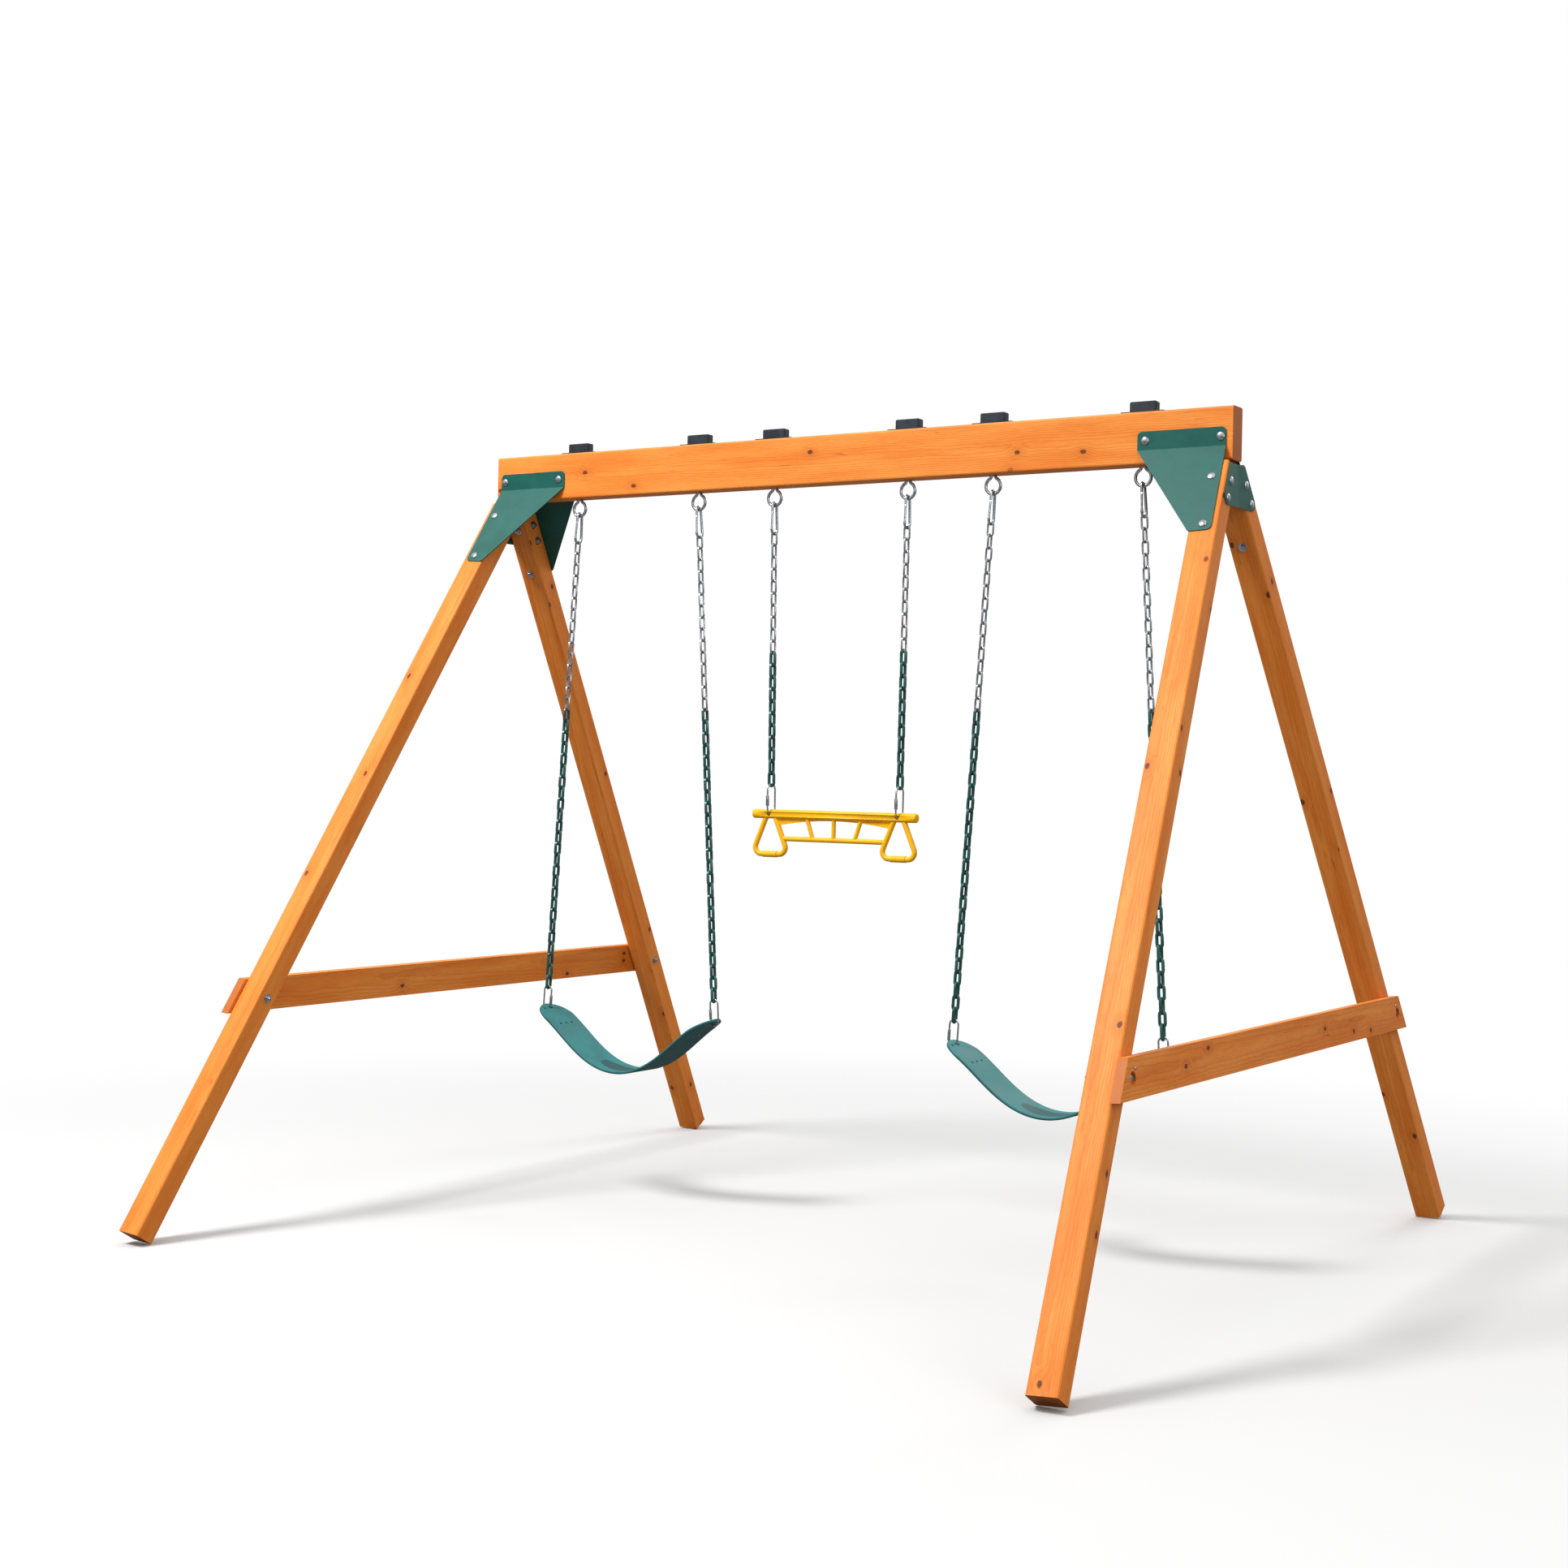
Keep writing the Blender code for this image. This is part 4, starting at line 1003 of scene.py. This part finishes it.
def seat_outline():
    """Distances along the belt and its half width at each, with round ends."""
    corner = SEAT_WIDTH / 2
    straight = SEAT_LENGTH / 2 - corner
    count = 150
    stations = [(straight * (2 * i / count - 1), corner) for i in range(count + 1)]
    for i in range(1, 19):
        angle = math.radians(86) * i / 18
        end = (straight + corner * math.sin(angle), corner * math.cos(angle))
        stations.append(end)
        stations.insert(0, (-end[0], end[1]))
    return stations


def make_belt(name):
    """A curved belt seat with its relief, end holes and row of small holes."""
    low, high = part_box("belt_seat_" + name)
    middle = (low + high) / 2
    lowest = Vector((middle.x, 0.0, low.z + SEAT_THICKNESS / 2))
    rubber = belt_rubber("belt_rubber_" + name, middle)
    data = bmesh.new()
    columns = 44
    loops = []
    for distance, half_width in seat_outline():
        inset = max(half_width - EDGE_ROUND, half_width * 0.5)
        across = [inset * (2 * i / columns - 1) for i in range(columns + 1)]
        top = SEAT_THICKNESS / 2 - RELIEF_TOP
        loop = [seat_point(distance, y, top + seat_relief(distance, y), lowest) for y in across]
        loop.append(seat_point(distance, half_width, top - EDGE_ROUND, lowest))
        loop.append(seat_point(distance, half_width, -SEAT_THICKNESS / 2 + EDGE_ROUND, lowest))
        loop += [seat_point(distance, y, -SEAT_THICKNESS / 2, lowest) for y in reversed(across)]
        loop.append(seat_point(distance, -half_width, -SEAT_THICKNESS / 2 + EDGE_ROUND, lowest))
        loop.append(seat_point(distance, -half_width, top - EDGE_ROUND, lowest))
        loops.append(loop)
    skin(data, loops)
    piece = make_piece("moulded_belt_" + name, data, rubber, name + "_seat", "belt", "belt_seat_" + name)
    cutter_data = bmesh.new()
    end = SEAT_LENGTH / 2 - SEAT_END_MARGIN
    row = end - HOLE_ROW_SETBACK
    hole_spots = [(end, 0.0, GROMMET_RADIUS), (end, -SIDE_HOLE_OFFSET, SMALL_HOLE_RADIUS)]
    hole_spots += [(row, i * HOLE_ROW_SPACING, SMALL_HOLE_RADIUS) for i in (-1, 0, 1)]
    for side in (-1, 1):
        for distance, y, radius in hole_spots:
            base = seat_point(side * distance, y, -CUT_REACH, lowest)
            tip = seat_point(side * distance, y, CUT_REACH, lowest)
            axis = (tip - base).normalized()
            turned(cutter_data, base, axis, [(radius, 0.0), (radius, 2 * CUT_REACH)], 24)
    cut(piece, cutter_data)


def cut(piece, cutter_data):
    """Cuts a bmesh out of a piece for good."""
    bmesh.ops.recalc_face_normals(cutter_data, faces=cutter_data.faces)
    cutter_mesh = bpy.data.meshes.new("cutter")
    cutter_data.to_mesh(cutter_mesh)
    cutter_data.free()
    cutter = bpy.data.objects.new("cutter", cutter_mesh)
    bpy.context.collection.objects.link(cutter)
    modifier = piece.modifiers.new("cut", "BOOLEAN")
    modifier.operation = "DIFFERENCE"
    modifier.solver = "EXACT"
    modifier.object = cutter
    bake_modifiers(piece)
    bpy.data.objects.remove(cutter, do_unlink=True)


def bake_modifiers(piece):
    """Replaces a piece's mesh with the result of its modifiers."""
    bpy.context.view_layer.update()
    graph = bpy.context.evaluated_depsgraph_get()
    result = bpy.data.meshes.new_from_object(piece.evaluated_get(graph))
    piece.modifiers.clear()
    piece.data = result


# ---- trapeze


def ring_offset(drop):
    """Half the width of a hand ring at a depth below the bar."""
    return RING_HALF_TOP + (RING_HALF_BASE - RING_HALF_TOP) * drop / RING_HEIGHT


def make_trapeze_bar(bar, half, plastic):
    """The round top bar, with rounded ends and a hole for each hanger."""
    data = bmesh.new()
    ends = []
    radii = []
    for step in range(7):
        angle = math.pi / 2 * step / 6
        ends.append(END_ROUND * math.sin(angle))
        radii.append(BAR_RADIUS - END_ROUND * (1 - math.cos(angle)))
    path = [bar - X_AXIS * (half - END_ROUND + inset) for inset in reversed(ends)]
    path += [bar + X_AXIS * (half - END_ROUND + inset) for inset in ends]
    tube(data, path, Y_AXIS, radii[::-1] + radii, 32)
    piece = make_piece("moulded_bar", data, plastic, "trapeze", "yellow", "trapeze_bar")
    cutter_data = bmesh.new()
    for side in (-1, 1):
        base = bar + Vector((side * BAR_HOLE_SPACING / 2, -2 * BAR_RADIUS, 0.0))
        profile = [(BAR_HOLE_RADIUS, 0.0), (BAR_HOLE_RADIUS, 4 * BAR_RADIUS)]
        turned(cutter_data, base, Y_AXIS, profile, 24)
    cut(piece, cutter_data)


def add_hand_ring(data, middle):
    """A three-sided hand ring with a thicker grip along its base."""
    top = ring_offset(RING_SINK)
    shape = ((-top, -RING_SINK), (-RING_HALF_BASE, -RING_HEIGHT),
             (RING_HALF_BASE, -RING_HEIGHT), (top, -RING_SINK))
    corners = [middle + Vector((x, 0.0, z)) for x, z in shape]
    ring = [corners[0]]
    ring += fillet(corners[0], corners[1], corners[2], RING_ROUND, 12)
    ring += fillet(corners[1], corners[2], corners[3], RING_ROUND, 12)
    ring.append(corners[3])
    tube(data, ring, Y_AXIS, RING_RADIUS, 18)
    base = middle - Z_AXIS * RING_HEIGHT
    grip_end = X_AXIS * GRIP_LENGTH / 2
    tube(data, [base - grip_end, base + grip_end], Y_AXIS, GRIP_RADIUS, 22)


def add_web(data, bar, ring_x):
    """The thin arched web between the bar and the rail."""
    steps = 24
    reach = ring_x - ring_offset(ARCH_FOOT)
    outline = []
    for i in range(steps + 1):
        x = reach * (1 - 2 * i / steps)
        outline.append((x, -ARCH_CROWN - (ARCH_FOOT - ARCH_CROWN) * (x / reach) ** 2))
    shoulder = ring_x - ring_offset(0.0)
    outline += [(-shoulder, 0.0), (shoulder, 0.0)]
    loops = []
    for y in (-WEB_THICKNESS / 2, WEB_THICKNESS / 2):
        loops.append([bar + Vector((x, y, z)) for x, z in outline])
    skin(data, loops)


def make_trapeze(plastic):
    low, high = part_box("trapeze_bar")
    bar = Vector(((low.x + high.x) / 2, 0.0, high.z - BAR_RADIUS))
    make_trapeze_bar(bar, (high.x - low.x) / 2, plastic)
    ring_x = BAR_HOLE_SPACING / 2
    data = bmesh.new()
    for side in (-1, 1):
        add_hand_ring(data, bar + X_AXIS * side * ring_x)
        strut_top = bar + Vector((side * STRUT_TOP, 0.0, 0.0))
        strut_foot = bar + Vector((side * STRUT_FOOT, 0.0, -RAIL_DROP))
        tube(data, [strut_top, strut_foot], Y_AXIS, STRUT_RADIUS, 14)
    rail_half = ring_x - ring_offset(RAIL_DROP)
    rail = [bar + Vector((x, 0.0, -RAIL_DROP)) for x in (-rail_half, rail_half)]
    tube(data, rail, Y_AXIS, RAIL_RADIUS, 16)
    tube(data, [bar, bar - Z_AXIS * RAIL_DROP], Y_AXIS, STRUT_RADIUS, 14)
    add_web(data, bar, ring_x)
    make_piece("moulded_rings", data, plastic, "trapeze", "yellow", "trapeze_bar")


# ---- studio


def make_floor():
    data = bmesh.new()
    bmesh.ops.create_grid(data, x_segments=1, y_segments=1, size=FLOOR_HALF)
    mesh = bpy.data.meshes.new("floor")
    data.to_mesh(mesh)
    data.free()
    floor = bpy.data.objects.new("floor", mesh)
    floor.location.z = -FLOOR_DROP
    bpy.context.collection.objects.link(floor)
    mesh.materials.append(floor_material())


def floor_material():
    """A pale studio floor that runs out into the white backdrop, and throws back little light so
    that the timber's undersides stay darker than its lit faces."""
    shader = Shader("floor")
    place = shader.place()
    seen = shader.node("ShaderNodeLightPath").outputs["Is Camera Ray"]
    shader.set(Base_Color=shader.mix(seen, FLOOR_BOUNCE, FLOOR_SEEN), Roughness=0.9)
    distance = shader.node("ShaderNodeVectorMath", operation="LENGTH")
    shader.feed(distance.inputs[0], place)
    runout = shader.between(distance.outputs["Value"], *FLOOR_RUNOUT)
    glow = shader.node("ShaderNodeEmission")
    glow.inputs["Color"].default_value = (1.0, 1.0, 1.0, 1.0)
    blend = shader.node("ShaderNodeMixShader")
    shader.feed(blend.inputs[0], shader.math("MULTIPLY", runout, seen))
    shader.feed(blend.inputs[1], shader.surface.outputs[0])
    shader.feed(blend.inputs[2], glow.outputs[0])
    output = shader.tree.nodes["Material Output"]
    shader.feed(output.inputs["Surface"], blend.outputs[0])
    return shader.material


def area_light(name, location, target, size, power):
    light = bpy.data.lights.new(name, "AREA")
    light.shape = "DISK"
    light.size = size
    light.energy = power
    lamp = bpy.data.objects.new(name, light)
    lamp.location = location
    lamp.rotation_euler = (Vector(target) - Vector(location)).to_track_quat("-Z", "Y").to_euler()
    bpy.context.collection.objects.link(lamp)


def make_lights():
    """Soft studio lights, and a sky that is brighter overhead."""
    bpy.context.scene.view_settings.view_transform = "Standard"
    world = bpy.data.worlds.new("studio")
    bpy.context.scene.world = world
    world.use_nodes = True
    tree = world.node_tree
    sky = tree.nodes["Background"]
    direction = tree.nodes.new("ShaderNodeTexCoord")
    split = tree.nodes.new("ShaderNodeSeparateXYZ")
    tree.links.new(direction.outputs["Generated"], split.inputs[0])
    ramp = tree.nodes.new("ShaderNodeValToRGB")
    stops = ramp.color_ramp.elements
    for stop, (height, grey) in zip([stops[0], stops[1], stops.new(0.5), stops.new(0.5)], SKY_STOPS):
        stop.position = height
        stop.color = (grey, grey, grey, 1.0)
    height_share = tree.nodes.new("ShaderNodeMapRange")
    height_share.inputs[1].default_value = -1.0
    tree.links.new(split.outputs[2], height_share.inputs[0])
    tree.links.new(height_share.outputs[0], ramp.inputs[0])
    seen = tree.nodes.new("ShaderNodeLightPath")
    mix = tree.nodes.new("ShaderNodeMix")
    mix.data_type = "RGBA"
    tree.links.new(seen.outputs["Is Camera Ray"], mix.inputs[0])
    tree.links.new(ramp.outputs[0], mix.inputs[6])
    mix.inputs[7].default_value = (1.0, 1.0, 1.0, 1.0)
    tree.links.new(mix.outputs[2], sky.inputs["Color"])
    for name, place, size, power in LIGHTS:
        area_light(name, place, LIGHT_TARGET, size, power)


def make_camera():
    """The camera, in front of the set and to its right."""
    data = bpy.data.cameras.new("camera")
    data.sensor_width = 36.0
    data.lens = CAMERA_LENS
    camera = bpy.data.objects.new("camera", data)
    level = Vector((-math.sin(CAMERA_YAW), math.cos(CAMERA_YAW), 0.0))
    right = Vector((math.cos(CAMERA_YAW), math.sin(CAMERA_YAW), 0.0))
    forward = math.cos(CAMERA_PITCH) * level + math.sin(CAMERA_PITCH) * Z_AXIS
    above = right.cross(forward)
    rolled_right = math.cos(CAMERA_ROLL) * right + math.sin(CAMERA_ROLL) * above
    rolled_above = math.cos(CAMERA_ROLL) * above - math.sin(CAMERA_ROLL) * right
    turn = Matrix((rolled_right, rolled_above, -forward)).transposed().to_4x4()
    camera.matrix_world = Matrix.Translation(CAMERA_PLACE) @ turn
    data.clip_start = 0.05
    data.clip_end = 200.0
    bpy.context.collection.objects.link(camera)
    bpy.context.scene.camera = camera


def main():
    metal = zinc("zinc_bright")
    chain_metal = zinc("zinc_chain")
    steel = coated_steel("green_steel_coat", colour(0, 80, 72), 3)
    coated = dipped_chain("chain_dip")
    plastic = moulded("cap_plastic", colour(28, 34, 42), colour(38, 46, 56), 1400.0, 0.42, 0.58, 0.20)
    yellow = moulded("yellow_plastic", colour(248, 186, 0), colour(240, 172, 0), 1600.0, 0.34, 0.46, 0.015)
    dress_timber()
    dress_plates(steel)
    dress_caps(metal, plastic)
    for name, sign_x in (("left", -1), ("right", 1)):
        end_bolts(sign_x, name, metal)
        brace_bolts(sign_x, name, metal)
        for place, sign_y in (("front", 1), ("rear", -1)):
            corner_bolts(sign_x, sign_y, place + "_" + name, metal)
        make_belt(name)
    for station in STATIONS:
        hanger = Hanger(station)
        make_eye(hanger, metal)
        make_snap_hook(hanger, metal)
        make_quick_link(hanger, metal)
        make_chain(hanger, chain_metal, coated)
    make_trapeze(yellow)
    make_floor()
    make_lights()
    make_camera()


main()
